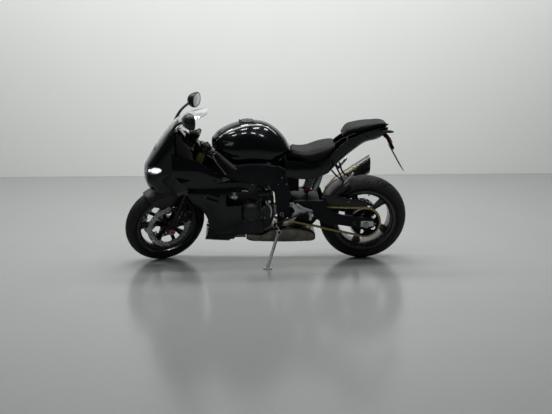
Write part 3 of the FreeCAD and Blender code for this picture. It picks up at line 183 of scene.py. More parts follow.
def wrapped(rows, around_closed, ends_closed=True):
    """A shape from rows of points: quads between them, and a face over each open end."""
    rows = np.array(rows, float)
    down, across = rows.shape[:2]
    turns = across if around_closed else across - 1
    faces = [(i * across + j, i * across + (j + 1) % across, (i + 1) * across + (j + 1) % across,
        (i + 1) * across + j) for i in range(down - 1) for j in range(turns)]
    if around_closed and ends_closed:
        faces += [tuple(range(across))[::-1], tuple(range((down - 1) * across, down * across))]
    return rows.reshape(-1, 3), faces


def lofted(sections, steps, radius=0.0, corner_steps=3):
    """A solid through closed sections that flow into each other."""
    rows = [eased(s, radius, corner_steps) if radius else np.array(s, float) for s in sections]
    return wrapped(flowing(rows, steps), True)


def joined(*shapes):
    """Several shapes as one."""
    points, faces, base = [], [], 0
    for shape_points, shape_faces in shapes:
        points.append(np.array(shape_points, float).reshape(-1, 3))
        faces += [tuple(base + v for v in face) for face in shape_faces]
        base += len(shape_points)
    return np.vstack(points), faces


def both(shape):
    """A shape and its mirror image on the bike's other side."""
    points, faces = shape
    return joined(shape, (np.array(points) * (1, -1, 1), [f[::-1] for f in faces]))


def slab(outline, y0, y1, radius=0.0):
    """A side-view outline of X and Z, as thick as between two planes across the bike."""
    flat = eased(outline, radius) if radius else np.array(outline, float)
    rows = [np.stack((flat[:, 0], np.full(len(flat), y), flat[:, 1]), axis=1) for y in (y0, y1)]
    return wrapped(rows, True)


def block(x, y, z, radius=0.0):
    """A box from three pairs of limits, its corners rounded in side view."""
    return slab([(x[0], z[0]), (x[1], z[0]), (x[1], z[1]), (x[0], z[1])], *y, radius)


def turned(profile, start, towards, steps=32):
    """A lathe shape: radius and distance from the start, along an axis."""
    axis = np.array(Vector(towards).normalized())
    side = np.array(Vector(axis).orthogonal().normalized())
    third = np.cross(axis, side)
    ways = [side * cos(a) + third * sin(a) for a in np.radians(np.linspace(0, 360, steps, endpoint=False))]
    rings = [[np.array(start) + way * r + axis * d for way in ways] for r, d in profile]
    return wrapped(rings, True, ends_closed=False)


def bar(start, stop, radius, chamfer=1.0, steps=24):
    """A round bar with broken edges between two points."""
    length = (Vector(stop) - Vector(start)).length
    profile = [(0, 0), (radius - chamfer, 0), (radius, chamfer), (radius, length - chamfer),
        (radius - chamfer, length), (0, length)]
    return turned(profile, start, Vector(stop) - Vector(start), steps)


def tube(points, radius, steps=6, sides=14, flat=1.0):
    """A round bar, or a hose, along a smooth line."""
    line = flowing(points, steps)
    radii = np.interp(np.linspace(0, 1, len(line)), np.linspace(0, 1, np.size(radius)),
        np.atleast_1d(radius))
    rows = []
    side = None
    for i, point in enumerate(line):
        ahead = Vector(line[min(i + 1, len(line) - 1)] - line[max(i - 1, 0)]).normalized()
        side = (side - ahead * side.dot(ahead)).normalized() if side else ahead.orthogonal().normalized()
        other = ahead.cross(side)
        rows.append([point + radii[i] * np.array(side * cos(a) + other * sin(a) * flat)
            for a in np.linspace(0, 2 * pi, sides, endpoint=False)])
    return wrapped(rows, True)


def in_scene(name, data):
    """A new object in the scene."""
    obj = bpy.data.objects.new(name, data)
    bpy.context.scene.collection.objects.link(obj)
    return obj


def piece(name, shape, finish, stands_for=(), slot=None, bevel=0.0, angle=32, where=BIKE, body="chassis",
        ride=True):
    """One finished piece: merged, faces outwards, edges broken, and carried by its body."""
    points, faces = shape
    mesh = bpy.data.meshes.new(name)
    mesh.from_pydata([where @ Vector(p) for p in points], [], faces)
    shell = bmesh.new()
    shell.from_mesh(mesh)
    bmesh.ops.remove_doubles(shell, verts=shell.verts, dist=2e-6)
    bmesh.ops.recalc_face_normals(shell, faces=shell.faces)
    shell.to_mesh(mesh)
    shell.free()
    mesh.materials.append(finish)
    obj = in_scene(name, mesh)
    if bevel:
        edge = obj.modifiers.new("edges", "BEVEL")
        edge.width = bevel / 1000
        edge.segments = 2
        edge.limit_method = "ANGLE"
        edge.angle_limit = radians(angle)
        settle(obj)
    obj.data.shade_smooth()
    obj.data.set_sharp_from_angle(angle=radians(angle + 6))
    if ride:
        carried(obj, body, stands_for)
    return obj


def settle(obj):
    """Turn what the modifiers make into the piece's own mesh."""
    bpy.context.view_layer.update()
    made = bpy.data.meshes.new_from_object(obj.evaluated_get(bpy.context.evaluated_depsgraph_get()))
    obj.modifiers.clear()
    obj.data = made
    made.name = obj.name


def carried(obj, body, stands_for=()):
    """Hand a piece to its body, with the CAD nodes that it stands for."""
    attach(obj, body)
    if stands_for:
        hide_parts(*stands_for)


# Cast aluminium under satin powder coat: a fine pebbled skin that breaks up each highlight.
powder_black = surface("powder_coated_aluminium", "#06090d", "#0b0e12", 0.52, 0.07, patch=60, grain=1.1,
    relief=0.25, Specular_IOR_Level=0.2)

# X, then inner and outer half widths, and the beam's low and high edges
BEAM = ((-425, 5, 44, 716, 832), (-380, 58, 92, 712, 816), (-330, 108, 146, 704, 804),
        (-240, 152, 196, 684, 788), (-100, 164, 206, 658, 800), (0, 160, 204, 645, 796),
        (80, 134, 178, 590, 770))
sections = [[(x, -near, low), (x, -far + 8, low), (x, -far, low * 0.6 + high * 0.4),
    (x, -far + 3, low * 0.25 + high * 0.75), (x, -far + 14, high), (x, -near, high)]
    for x, near, far, low, high in BEAM]
beam = lofted(sections, 5, 11)
pivot_plate = slab([(20, 640), (30, 772), (90, 770), (150, 740), (178, 560), (168, 400), (140, 368),
    (88, 368), (80, 470), (74, 560)], -165, -130, 16)
plate_rib = slab([(60, 600), (64, 740), (120, 726), (150, 560), (142, 430), (112, 430), (104, 540)], -169,
    -164, 14)
axis_up = Vector((sin(RAKE), 0, cos(RAKE)))
steering_foot = Vector((-828.3, 0, 0))
head = turned([(15.5, 791), (37, 791), (40, 797), (40, 812), (36, 820), (36, 915), (40, 922), (40, 935),
    (37, 941), (15.5, 941), (15.5, 791)], steering_foot, axis_up, 48)
gusset = slab([(-500, 745), (-466, 842), (-405, 834), (-405, 715), (-445, 700)], -45, 45, 14)
stand_bracket = slab([(88, 376), (140, 376), (114, 258), (80, 258)], -136, -124.5, 8)
cross_tube = bar((118, -133, 620), (118, 133, 620), 26)
stand_pivot = Vector(joints["side_stand_fold"]["pos_m"])
stand_axis = Vector(joints["side_stand_fold"]["axis"])
to_bike = BIKE.inverted()
pin_mid = to_bike @ stand_pivot
pin_way = (to_bike.to_3x3() @ stand_axis).normalized()
stand_pin = joined(bar(pin_mid - pin_way * 24, pin_mid + pin_way * 20, 6),
    turned([(0, 15.5), (10, 15.5), (10, 19), (8, 20), (0, 20)], pin_mid, pin_way, 6))
piece("frame_casting", joined(both(beam), both(pivot_plate), both(plate_rib), head, gusset, stand_bracket,
    cross_tube, stand_pin), powder_black, ["main_frame"], "frame_black", bevel=2.5)

# Button-head screws, plugs and pins are one small shape each, copied to their places.


def repeater():
    """Nodes that copy an item to every vertex of a mesh, turned to face its way."""
    tree = bpy.data.node_groups.new("copies_on_spots", "GeometryNodeTree")
    for name, kind, way in (("Spots", "NodeSocketGeometry", "INPUT"), ("Item", "NodeSocketObject",
            "INPUT"), ("Size", "NodeSocketFloat", "INPUT"), ("Random turn", "NodeSocketFloat", "INPUT"),
            ("Finish", "NodeSocketMaterial", "INPUT"), ("Copies", "NodeSocketGeometry", "OUTPUT")):
        tree.interface.new_socket(name=name, in_out=way, socket_type=kind)
    given = add(tree, "NodeGroupInput").outputs
    item = add(tree, "GeometryNodeObjectInfo", {"Object": given["Item"]})
    facing = add(tree, "GeometryNodeInputNamedAttribute", {"Name": "facing"}, data_type="FLOAT_VECTOR")
    along = add(tree, "GeometryNodeInputNamedAttribute", {"Name": "along"}, data_type="FLOAT_VECTOR")
    turn = add(tree, "FunctionNodeAlignRotationToVector", {"Vector": facing.outputs[0]}, axis="Z")
    turn = add(tree, "FunctionNodeAlignRotationToVector", {"Rotation": turn.outputs[0],
        "Vector": along.outputs[0]}, axis="X", pivot_axis="Z")
    chance = add(tree, "FunctionNodeRandomValue", {2: 0.0, 3: given["Random turn"], "Seed": 1},
        data_type="FLOAT")
    spin = add(tree, "FunctionNodeAxisAngleToRotation", {"Axis": (0, 0, 1), "Angle": chance.outputs[1]})
    turn = add(tree, "FunctionNodeRotateRotation", {"Rotation": turn.outputs[0],
        "Rotate By": spin.outputs[0]}, rotation_space="LOCAL")
    copies = add(tree, "GeometryNodeInstanceOnPoints",
        {"Points": given["Spots"], "Instance": item.outputs["Geometry"], "Rotation": turn.outputs[0],
        "Scale": given["Size"]})
    real = add(tree, "GeometryNodeRealizeInstances", {0: copies.outputs["Instances"]})
    dressed = add(tree, "GeometryNodeSetMaterial", {"Geometry": real.outputs[0],
        "Material": given["Finish"]})
    add(tree, "NodeGroupOutput", {"Copies": dressed.outputs[0]})
    return tree


copier = repeater()
# Zinc-plated steel screws: a soft bright grey, duller in the socket.
zinc_steel = surface("zinc_plated_steel", "#8f9294", "#6f7274", 0.32, 0.08, 1.0, patch=6, grain=0.4,
    relief=0.1)
# The most that a copy is turned at random, in radians
ANY_TURN = 6.28


def copies(name, item, spots, finish=zinc_steel, slot=None, size=1.0, random_turn=0.0, angle=30,
        where=BIKE, body="chassis"):
    """Copy a small shape to spots: a point, the way it faces and, if it matters, its X way."""
    way = where.to_3x3()
    model = piece(name + "_item", item, finish, angle=angle, where=Matrix.Scale(0.001, 4), ride=False)
    mesh = bpy.data.meshes.new(name)
    mesh.from_pydata([where @ Vector(spot[0]) for spot in spots], [], [])
    for label, index in (("facing", 1), ("along", 2)):
        values = [way @ Vector(s[index] if len(s) > index else Vector(s[1]).orthogonal()) for s in spots]
        mesh.attributes.new(label, "FLOAT_VECTOR", "POINT").data.foreach_set("vector",
            np.array([v.normalized() for v in values]).ravel())
    obj = in_scene(name, mesh)
    modifier = obj.modifiers.new("copies", "NODES")
    modifier.node_group = copier
    values = {"Item": model, "Size": size, "Random turn": random_turn, "Finish": finish}
    for socket in copier.interface.items_tree:
        if socket.name in values:
            modifier[socket.identifier] = values[socket.name]
    settle(obj)
    bpy.data.objects.remove(model)
    carried(obj, body)


def round_of(count, radius, centre, axis, begin=0.0):
    """Spots evenly round an axis, facing along it."""
    axis = Vector(axis).normalized()
    side = axis.orthogonal().normalized()
    other = axis.cross(side)
    spots = []
    for i in range(count):
        a = radians(begin) + 2 * pi * i / count
        out = side * cos(a) + other * sin(a)
        spots.append((Vector(centre) + out * radius, axis, out))
    return spots


def on_sides(points):
    """Spots on both sides of the bike, facing outwards, from points on its right."""
    return [((x, s * y, z), (0, s, 0)) for s in (-1, 1) for x, y, z in points]


def lathed(profile, steps):
    """A small lathe shape about its own Z axis, to be copied."""
    return turned(profile, (0, 0, 0), (0, 0, 1), steps)


BUTTON_SCREW = lathed([(0, 1.4), (2.6, 1.4), (2.7, 3.4), (4.4, 3.2), (6.4, 2.0), (7, 0), (7, -2),
    (0, -2)], 12)
copies("frame_screws", BUTTON_SCREW, on_sides(((70, 170, 700), (118, 170, 690), (92, 166, 640),
    (150, 166, 640), (128, 166, 396))), random_turn=ANY_TURN)
PIVOT_NUT = lathed([(9, 0), (16, 0), (16, 8), (14, 9.5), (10, 9.5), (9, 8), (9, 2), (0, 2)], 6)
copies("pivot_nuts", PIVOT_NUT, on_sides([(118, 165, 415)]))

# ---------------- seat subframe
# Two bolted-on aluminium rails with cross bars, under the seats and inside the tail.
rail_outline = [(147, 634), (147, 700), (182, 768), (250, 762), (380, 772), (480, 838), (560, 900),
    (730, 968), (736, 950), (560, 868), (470, 790), (380, 722), (300, 700), (190, 676)]
rails = joined(*[slab(rail_outline, y, y + 14, 8) for y in (-78, 64)])
rail_bars = joined(*[bar((x, -70, z), (x, 70, z), 9) for x, z in ((420, 775), (600, 905))])
piece("subframe_rails", joined(rails, rail_bars), powder_black, ["seat_subframe"], "frame_black", bevel=2)

# ---------------- engine
# Inline four with a cassette gearbox: die-cast cases, cylinder head and cam cover, joined
# by rows of flange screws and painted dark grey.
# Die-cast aluminium under engine paint: satin, with the sandy skin of the mould.
engine_paint = surface("engine_paint_on_cast_alloy", "#0d0f11", "#15171a", 0.42, 0.08, 0.15, patch=45,
    grain=1.4, relief=0.35)
cases = []
for outline, half, ease in (
        ([(-308, 648), (-180, 688), (-90, 668), (-96, 646), (-180, 664), (-300, 622)], 138, 7),
        ([(-328, 562), (-314, 618), (-180, 660), (-60, 640), (-70, 596), (-300, 540)], 147, 8),
        ([(-300, 546), (-60, 604), (-20, 600), (-20, 500), (-296, 452)], 140, 6),
        ([(-302, 458), (-24, 500), (-22, 372), (-302, 330)], 147, 12),
        ([(-298, 336), (-24, 378), (-22, 256), (-232, 244), (-296, 302)], 136, 12),
        ([(-30, 636), (16, 562), (64, 520), (68, 362), (40, 294), (-30, 256)], 91, 12)):
    cases.append(slab(outline, -half, half, ease))
ribs = [block((x, x + 6), (-143, 143), (300, 345)) for x in range(-276, -40, 26)]
fins = [slab([(-302, z), (-30, z + 44), (-30, z + 48), (-302, z + 4)], -146, 146)
    for z in range(476, 536, 12)]
starter = bar((-60, -120, 560), (40, -120, 560), 32, 8)
filter_can = turned([(0, 0), (34, 0), (38, 6), (38, 60), (30, 72), (0, 72)], (-296, 40, 340),
    (-1, 0, -0.15), 14)
piece("engine_cases", joined(*cases, *ribs, *fins, starter, filter_can), engine_paint, ["engine"],
    "engine_grey", bevel=1.6)
FLANGE_SCREW = lathed([(0, 0), (7, 0), (7, 1.6), (5, 2.2), (5, 6), (4.4, 6.8), (0, 6.8)], 6)
copies("case_screws", FLANGE_SCREW,
    on_sides([(x, 147, z) for x, z in ((-286, 440), (-286, 350), (-40, 486), (-40, 388), (-240, 372),
    (-306, 596), (-200, 640), (-90, 634), (-230, 575))]), random_turn=ANY_TURN)

# Covers for the alternator and drive sprocket on the left and the clutch on the right:
# pressure-cast, each with a ring of screws round its edge.
COVER = [(0, 50), (40, 50), (44, 53), (54, 53), (58, 49), (64, 44), (70, 36), (79, 32), (79, 9), (85, 7),
    (85, 0), (0, 0)]
alternator = turned(COVER, (-102, -149, 431), (0, -1, 0), 64)
clutch = turned([(r * 1.09, d * 0.95) for r, d in COVER], (-116, 149, 410), (0, 1, 0), 64)
# the middle of each cover, how far out its lugs are and its side of the bike
lug_spots = [((cx + reach * cos(a), s * 160, cz + reach * sin(a)), (0, s, 0))
    for cx, cz, reach, s in ((-102, 431, 82, -1), (-116, 410, 92, 1))
    for a in np.radians(range(15, 375, 45))]
lugs = [block((x - 9, x + 9), sorted((y, way[1] * 149)), (z - 9, z + 9), 6)
    for (x, y, z), way in lug_spots]
cup = turned([(54, 0), (60, 0), (60, 48), (56, 52), (0, 52), (0, 46), (54, 46), (54, 0)], (13, -93, 420),
    (0, -1, 0), 40)
cup = (np.clip(cup[0], (-19.5, -200, 0), (66, 0, 999)), cup[1])
piece("side_covers", joined(alternator, clutch, cup, *lugs), engine_paint, ["engine_covers"],
    "engine_grey", bevel=1.2)
cup_spots = [((13 + 44 * cos(a), -145, 420 + 44 * sin(a)), (0, -1, 0))
    for a in np.radians((60, 120, 190, 250, 310))]
copies("cover_screws", FLANGE_SCREW, lug_spots + cup_spots, random_turn=ANY_TURN)

# Moulded coolant hoses with worm-drive clips, from the pump to the radiator and the head.
# EPDM hose: dull black with the faint weave of its fabric reinforcement.
hose_rubber = surface("epdm_hose", "#141414", "#1d1c1b", 0.62, 0.08, patch=20, grain=1.5, relief=0.4)
hoses = joined(
    tube([(-20, -100, 520), (20, -118, 548), (10, -126, 600), (-60, -128, 650), (-180, -128, 700)], 15, 8),
    tube([(-370, 120, 470), (-352, 130, 440), (-320, 120, 400), (-300, 100, 380)], 17, 8),
    tube([(-370, -120, 680), (-350, -122, 705), (-300, -118, 712), (-250, -112, 700)], 17, 8))
piece("coolant_hoses", hoses, hose_rubber, slot="black_panel")


def band(inner, outer, low, high):
    """The profile of a ring between two radii and two distances."""
    return [(inner, low), (outer, low), (outer, high), (inner, high), (inner, low)]


clip_spots = [((-18, -101, 522), (-20, 10, -28)), ((12, -126, 596), (5, 2, -50)),
    ((-364, 122, 462), (-18, -10, 30)), ((-356, -121, 698), (-20, 2, -25))]
copies("hose_clips", lathed(band(16, 17.4, -5, 5), 20), clip_spots, size=1.06)
# Bare alloy water pipe and gear shift linkage beside the gearbox.
polished_alloy = surface("polished_alloy", "#c4c6c8", "#a9abad", 0.24, 0.07, 1.0, patch=25, grain=0.6,
    relief=0.08)
linkage = joined(
    tube([(4, -150, 512), (14, -154, 490), (34, -152, 470), (44, -150, 430), (40, -150, 390)], 7, 8),
    bar((62, -196, 372), (100, -180, 300), 4),
    bar((30, -146, 505), (30, -156, 505), 12),
    tube([(66, -100, 366), (80, -150, 372), (72, -182, 380), (64, -196, 366)], 5, 6))
piece("water_pipe_and_linkage", linkage, polished_alloy, slot="rest_alloy")
# The cast water pump on the crankcase, with its elbow clipped at both ends.
CLIP_BAND = band(9, 11.5, -3, 3)
pump = joined(
    turned([(0, 0), (30, 0), (30, 6), (26, 9), (24, 18), (16, 22), (8, 22), (8, 25), (0, 25)],
        (-222, -147, 546), (0, -1, 0), 32),
    tube([(-224, -160, 562), (-214, -162, 582), (-188, -162, 592), (-150, -158, 594), (-122, -152, 588)],
        9, 6, 14),
    turned(CLIP_BAND, (-196, -162, 591), (26, 0, 8), 20),
    turned(CLIP_BAND, (-146, -157, 594), (30, 6, -3), 20))
piece("water_pump", pump, polished_alloy, slot="rest_alloy", bevel=0.8)

# ---------------- radiator
# Aluminium radiator with tubes and folded fins between two side tanks, painted black.
radiator_frame = joined(
    block((-416, -390), (-150, -126), (430, 696)),
    block((-416, -390), (126, 150), (430, 696)),
    block((-411, -384), (-128, 128), (430, 442)),
    block((-411, -384), (-128, 128), (684, 696)),
    turned([(0, 0), (22, 0), (26, 3), (26, 14), (0, 14)], (-402, 138, 692), (0, 0, 1), 24))
piece("radiator_tanks", radiator_frame, powder_black, ["radiator"], "radiator_core", bevel=3)
# Brazed fin stock, thinly painted: dark with bare metal at its edges.
fin_stock = surface("painted_fin_stock", "#202224", "#3c3f42", 0.45, 0.1, 0.6, patch=12, grain=1.0,
    relief=0.2)
copies("radiator_tubes", block((-9, 9), (-127, 127), (-1, 1)), [((-399, 0, z), (0, 0, 1), (1, 0, 0))
    for z in np.arange(446, 684, 7)], fin_stock, "radiator_core")
copies("radiator_fins", block((-7, 7), (-0.4, 0.4), (-118, 118)), [((-399, y, 565), (0, 0, 1), (1, 0, 0))
    for y in np.arange(-122, 123, 4)], fin_stock, "radiator_core")

# ---------------- exhaust
# Four stainless header pipes into a welded silencing box under the engine, and a conical
# titanium silencer with a dark end cap on the right.


def heat_tinted(name, colour, other, blue, straw, rough, patch):
    """Bare metal browned and blued in bands by the heat of the gas inside."""
    material = surface(name, colour, other, rough, 0.08, 1.0, patch=patch, grain=0.5, relief=0.12)
    tree = material.node_tree
    place = add(tree, "ShaderNodeTexCoord").outputs["Object"]
    warped = add(tree, "ShaderNodeTexNoise", {"Vector": place, "Scale": 9.0, "Detail": 3.0,
        "Distortion": 1.2})
    bands = add(tree, "ShaderNodeValToRGB", {"Fac": warped.outputs["Fac"]})
    ramp = bands.color_ramp
    ramp.elements[0].position, ramp.elements[0].color = 0.36, linear(blue)
    ramp.elements[1].position, ramp.elements[1].color = 0.5, linear(straw)
    ramp.elements.new(0.62).color = linear(colour)
    shader = tree.nodes["Principled BSDF"]
    base = shader.inputs["Base Color"].links[0].from_socket
    mixed = add(tree, "ShaderNodeMix", {0: 0.55, 6: base, 7: bands.outputs["Color"]}, data_type="RGBA")
    tree.links.new(mixed.outputs[2], shader.inputs["Base Color"])
    return material


# 304 stainless, mill finish: greyish silver, straw and brown where it has run hot.
stainless = heat_tinted("heat_tinted_stainless", "#8d8c88", "#6f6e6a", "#57524c", "#7f7868", 0.33, 30)
pipes = []
for i in range(4):
    port, low = -120 + 80 * i, -63 + 42 * i
    pipes.append(tube([(-338, port, 606), (-352, port, 575), (-356, port, 520), (-356, port, 350),
        (-352, (port + low) / 2, 262), (-320, low, 222), (-250, low, 216), (-140, low, 214)], 18, 7, 20))
piece("header_pipes", joined(*pipes), stainless, ["exhaust_headers"], "exhaust_steel")
# X, then half width and height: bottom, low side, high side, top
BOX = ((-136, 70, 182, 84, 196, 84, 222, 74, 234), (-124, 74, 176, 90, 192, 90, 224, 80, 238),
       (-20, 88, 168, 104, 186, 104, 226, 90, 238), (60, 92, 165, 108, 190, 108, 256, 92, 272),
       (270, 92, 165, 108, 190, 108, 262, 92, 277), (352, 84, 168, 98, 186, 98, 232, 84, 244),
       (366, 78, 172, 90, 187, 90, 216, 78, 226), (372, 70, 176, 80, 188, 80, 204, 70, 212))


def arch(row):
    """A row of X, then half widths and heights down one side, run back along the other."""
    half = list(zip(row[1::2], row[2::2]))
    return [(row[0], -y, z) for y, z in half] + [(row[0], y, z) for y, z in reversed(half)]


box_body = lofted([arch(row) for row in BOX], 6, 14, 4)
seams = []
for x in (-20, 60, 270):
    row = next(r for r in BOX if r[0] == x)
    ring = [(a, b * 1.01, 220 + (c - 220) * 1.02) for a, b, c in eased(arch(row), 14, 4)]
    seams.append(tube(ring + ring[:1], 2.6, 1, 8))
piece("silencing_box", joined(box_body, *seams), stainless, ["exhaust_box"], "exhaust_steel")
# Titanium sheet, brushed along the can: a warm grey darkened as painted shade for the can's shaded inner
# side, straw and brown in clouds.
titanium = heat_tinted("brushed_titanium", "#6c6a60", "#555349", "#3f3b38", "#66604f", 0.38, 45)
can_start, can_way = Vector((482, 222, 447)), Vector((306, 8, 201)).normalized()
CAN_END = 800
link_pipe = tube([(316, 109, 224), (330, 150, 224), (370, 188, 226), (410, 206, 246), (442, 212, 336),
    (460, 217, 400), (484, 222, 449)], 22, 8, 22)


def slanted(shape, past):
    """Push a turned can's far end back along its axis to an upright plane."""
    points, faces = shape
    moved = []
    for point in points:
        point = Vector(point)
        over = point.x - (CAN_END - past)
        moved.append(point - can_way * (over / can_way.x) if over > 0 else point)
    return np.array(moved), faces


skin_line = [(24, -4), (30, 0), (33, 6), (56, 88), (58, 96), *[(58 + 4 * k / 12, 96 + 28 * k)
    for k in range(1, 13)], (62, 440), (61, 440)]
can = slanted(turned(skin_line, can_start, can_way, 48), 22)
bands = [turned(band(r, r + 2.5, d, d + 12), can_start, can_way, 48) for r, d in ((58, 104), (60.6, 262))]
piece("silencer_can", joined(link_pipe, can, *bands), titanium, ["silencer"], "silencer_titanium",
    bevel=0.8)
# Moulded and lacquered carbon end cap with a mesh-lined outlet, cut off upright.
cap_black = surface("lacquered_end_cap", "#0c0c0d", "#161617", 0.28, 0.06, patch=30, grain=2.0,
    relief=0.08, Coat_Weight=0.6, Coat_Roughness=0.08)
end_line = [(61.5, 300 + 12 * k) for k in range(12)] + [(60, 440), (44, 436), (30, 428), (27, 420)]
end_cap = slanted(turned(end_line, can_start, can_way, 48), 0)
end_bore = slanted(turned([(27.2, 420), (27.2, 300), (0, 296)], can_start, can_way, 32), 3)
strap = turned(band(60, 62.4, 180, 204), can_start, can_way, 48)
piece("silencer_end", joined(end_cap, end_bore, strap,
    tube([can_start + can_way * 192 + Vector((0, -58, 12)), (590, 150, 620), (560, 140, 700)], 7, 6)),
    cap_black, slot="silencer_titanium", bevel=0.8)
rivet_spots = round_of(12, 63, can_start + can_way * 268, can_way)
copies("can_rivets", lathed([(0, 2.2), (2.6, 1.6), (4, 0), (0, -1)], 10), [(p, out, can_way)
    for p, _, out in rivet_spots])

# ---------------- swingarm
# Welded aluminium swingarm on the pivot bolt, with chain adjusters and stand spools.
arm = slab([(200, 440), (200, 506), (424, 506), (446, 440), (550, 392), (690, 374), (770, 368),
    (792, 345), (792, 300), (770, 288), (690, 290), (550, 318), (430, 326), (320, 404)], -160, -132, 16)
arm_rib = slab([(236, 452), (240, 492), (404, 492), (424, 436), (540, 378), (660, 360), (660, 344),
    (540, 346), (420, 386), (330, 430)], -163, -158, 12)
middle = slab([(95, 392), (95, 440), (200, 506), (392, 506), (386, 440), (374, 334), (336, 292),
    (236, 290), (172, 352), (140, 390)], -96, 96, 12)
bridge = block((200, 390), (-140, 140), (476, 505))
pivot_tube = joined(bar((118, -98, 415), (118, 98, 415), 26, 3), bar((118, -172, 415), (118, 172, 415),
    12, 1))
piece("swingarm_weldment", joined(both(arm), both(arm_rib), middle, bridge, pivot_tube), powder_black,
    ["swingarm"], "frame_black", bevel=4)
# The axle stays as turned steel; its adjuster blocks and spools are machined alloy.
axle_steel = surface("turned_steel", "#9a9c9e", "#7d7f82", 0.3, 0.07, 1.0, patch=10, grain=0.4,
    relief=0.12)
paint("rear_axle", axle_steel)
adjuster = joined(slab([(690, 304), (690, 352), (780, 350), (784, 308)], -166, -161, 7),
    bar((776, -164, 328), (800, -164, 328), 4))
piece("chain_adjusters", both(adjuster), polished_alloy, bevel=1)
SPOOL = lathed([(4.3, 0), (12, 0), (12, 3), (8, 6), (8, 14), (12, 17), (12, 20), (4.3, 20), (4.3, 0)], 20)
copies("stand_spools", SPOOL, on_sides([(640, 163, 338)]), hose_rubber)

# ---------------- shock absorber
# One coil spring over a gas damper, with its reservoir beside it.
low_eye, high_eye = Vector((301, 0, 514)), Vector((358, 0, 700))
shock_way = (high_eye - low_eye).normalized()
damper = turned([(0, 0), (18, 0), (20, 6), (20, 28), (38, 28), (40, 31), (40, 41), (38, 44), (22, 46),
    (22, 150), (36, 150), (36, 158), (22, 160), (20, 188), (14, 194), (0, 194)], low_eye, shock_way, 36)
beside = Vector((48, -52, 0))
reservoir = turned([(0, 0), (20, 0), (24, 5), (24, 100), (22, 104), (24, 107), (24, 116), (20, 120),
    (0, 120)], low_eye + shock_way * 40 + beside, shock_way, 32)
neck = tube([high_eye - shock_way * 24, high_eye - shock_way * 18 + beside * 0.5,
    low_eye + shock_way * 156 + beside], 10, 6)
piece("damper", joined(damper, reservoir, neck), axle_steel, ["shock_absorber"], "shock_steel", bevel=0.8)


def coiled(start, way, side, radius, length, turns, steps, wire, sides, smooth=1):
    """A coil's wire, with a number of steps to each turn."""
    other = way.cross(side).normalized()
    line = [start + way * (length * i / (turns * steps)) + radius * (side * cos(2 * pi * i / steps)
        + other * sin(2 * pi * i / steps)) for i in range(turns * steps + 1)]
    return tube(line, wire, smooth, sides)


coil = coiled(low_eye + shock_way * 47, shock_way, shock_way.orthogonal().normalized(), 30.5, 100, 7, 12,
    5.2, 10, 2)
# Spring steel under silver enamel.
spring_silver = surface("enamelled_spring", "#a8aaac", "#8b8d90", 0.35, 0.06, 0.5, patch=20, grain=0.8,
    relief=0.1)
piece("coil_spring", coil, spring_silver, slot="shock_steel")
# Anodised aluminium preload collar, deep red.
anodised_red = surface("red_anodised_alloy", "#a81446", "#86103a", 0.3, 0.06, 0.7, patch=8, grain=0.5,
    relief=0.1)
collar = turned([(40.4, 29), (42, 31), (42, 41), (40.4, 43), (40.4, 29)], low_eye, shock_way, 24)
piece("preload_collar", collar, anodised_red, slot="shock_steel", bevel=0.5)

# ---------------- wheels
# Forged aluminium wheels with five channelled spokes, lacquered black, on 17 inch rims.
# Wheel lacquer: semi-gloss black, with brake dust dulling it in patches.
wheel_black = surface("lacquered_forging", "#090a0b", "#121211", 0.3, 0.1, patch=30, grain=0.9,
    relief=0.12, Coat_Weight=0.35, Coat_Roughness=0.15)


def mirrored(line):
    """An outline's points, run back with their second number negative."""
    return line + [(a, -b) for a, b in reversed(line)]


def wheel(half, hub_half, bore, spoke_angle, spoke_half_angle):
    """Barrel, hub and five spokes about the wheel's axle."""
    side = [(232, half + 5), (232, half), (219, half - 1), (219, half - 14), (211, half - 18),
        (200, half - 23)]
    inside = [(194, half - 22), (206, half - 17), (214, half - 12), (214, half + 5)]
    outer = mirrored(side)
    inner = [(r, -y) for r, y in reversed(inside)] + inside
    barrel = turned(outer + inner + outer[:1], (0, 0, 0), (0, 1, 0), 96)
    hub_line = [(bore, hub_half), (30, hub_half), (34, hub_half - 3), (34, 34), (44, 27), (52, 22)]
    hub = turned(mirrored(hub_line) + hub_line[:1], (0, 0, 0), (0, 1, 0), 64)
    shapes = [barrel, hub]
    tip = 190 * sin(radians(spoke_half_angle))
    root = 66 * sin(radians(spoke_half_angle * 1.6))
    # distance out, half width and half thickness of each section of a spoke
    stations = ((36, root * 1.5, 22), (62, root * 1.05, 21), (100, root * 0.98, 17),
        (140, tip * 0.72, 16), (170, tip * 0.86, 17), (186, tip * 1.08, 19), (196, tip * 1.6, 22))
    loop = mirrored([(-1, 0.35), (-0.92, 0.8), (-0.74, 1), (-0.5, 1), (-0.36, 0.62), (0.36, 0.62),
        (0.5, 1), (0.74, 1), (0.92, 0.8), (1, 0.35)])
    for k in range(5):
        a = radians(spoke_angle + 72 * k)
        out, across = np.array((cos(a), 0, sin(a))), np.array((-sin(a), 0, cos(a)))
        rows = [[out * reach + across * wide * w + np.array((0, deep * d, 0)) for w, d in loop]
            for reach, wide, deep in stations]
        shapes.append(wrapped(flowing(rows, 5), True))
    v = radians(spoke_angle + 36)
    valve = Vector((cos(v), 0, sin(v)))
    shapes.append(turned([(0, 0), (3.5, 0), (3.5, 14), (5, 15), (5, 30), (0, 31)], valve * 197,
        -valve + Vector((0, -0.5, 0)), 10))
    return joined(*shapes)


piece("front_wheel_forging", wheel(44.5, 62, 12.6, 29, 8.5), wheel_black, ["front_rim"], "rim_black",
    bevel=1.2, where=FRONT, body="front_wheel")
piece("rear_wheel_forging", wheel(76, 84, 14.1, 41, 9), wheel_black, ["rear_rim"], "rim_black", bevel=1.2,
    where=REAR, body="rear_wheel")

# Radial tyres, 120/70 and 190/55, with sickle grooves moulded in the shoulders.
GROOVE_DEPTH = 3.6


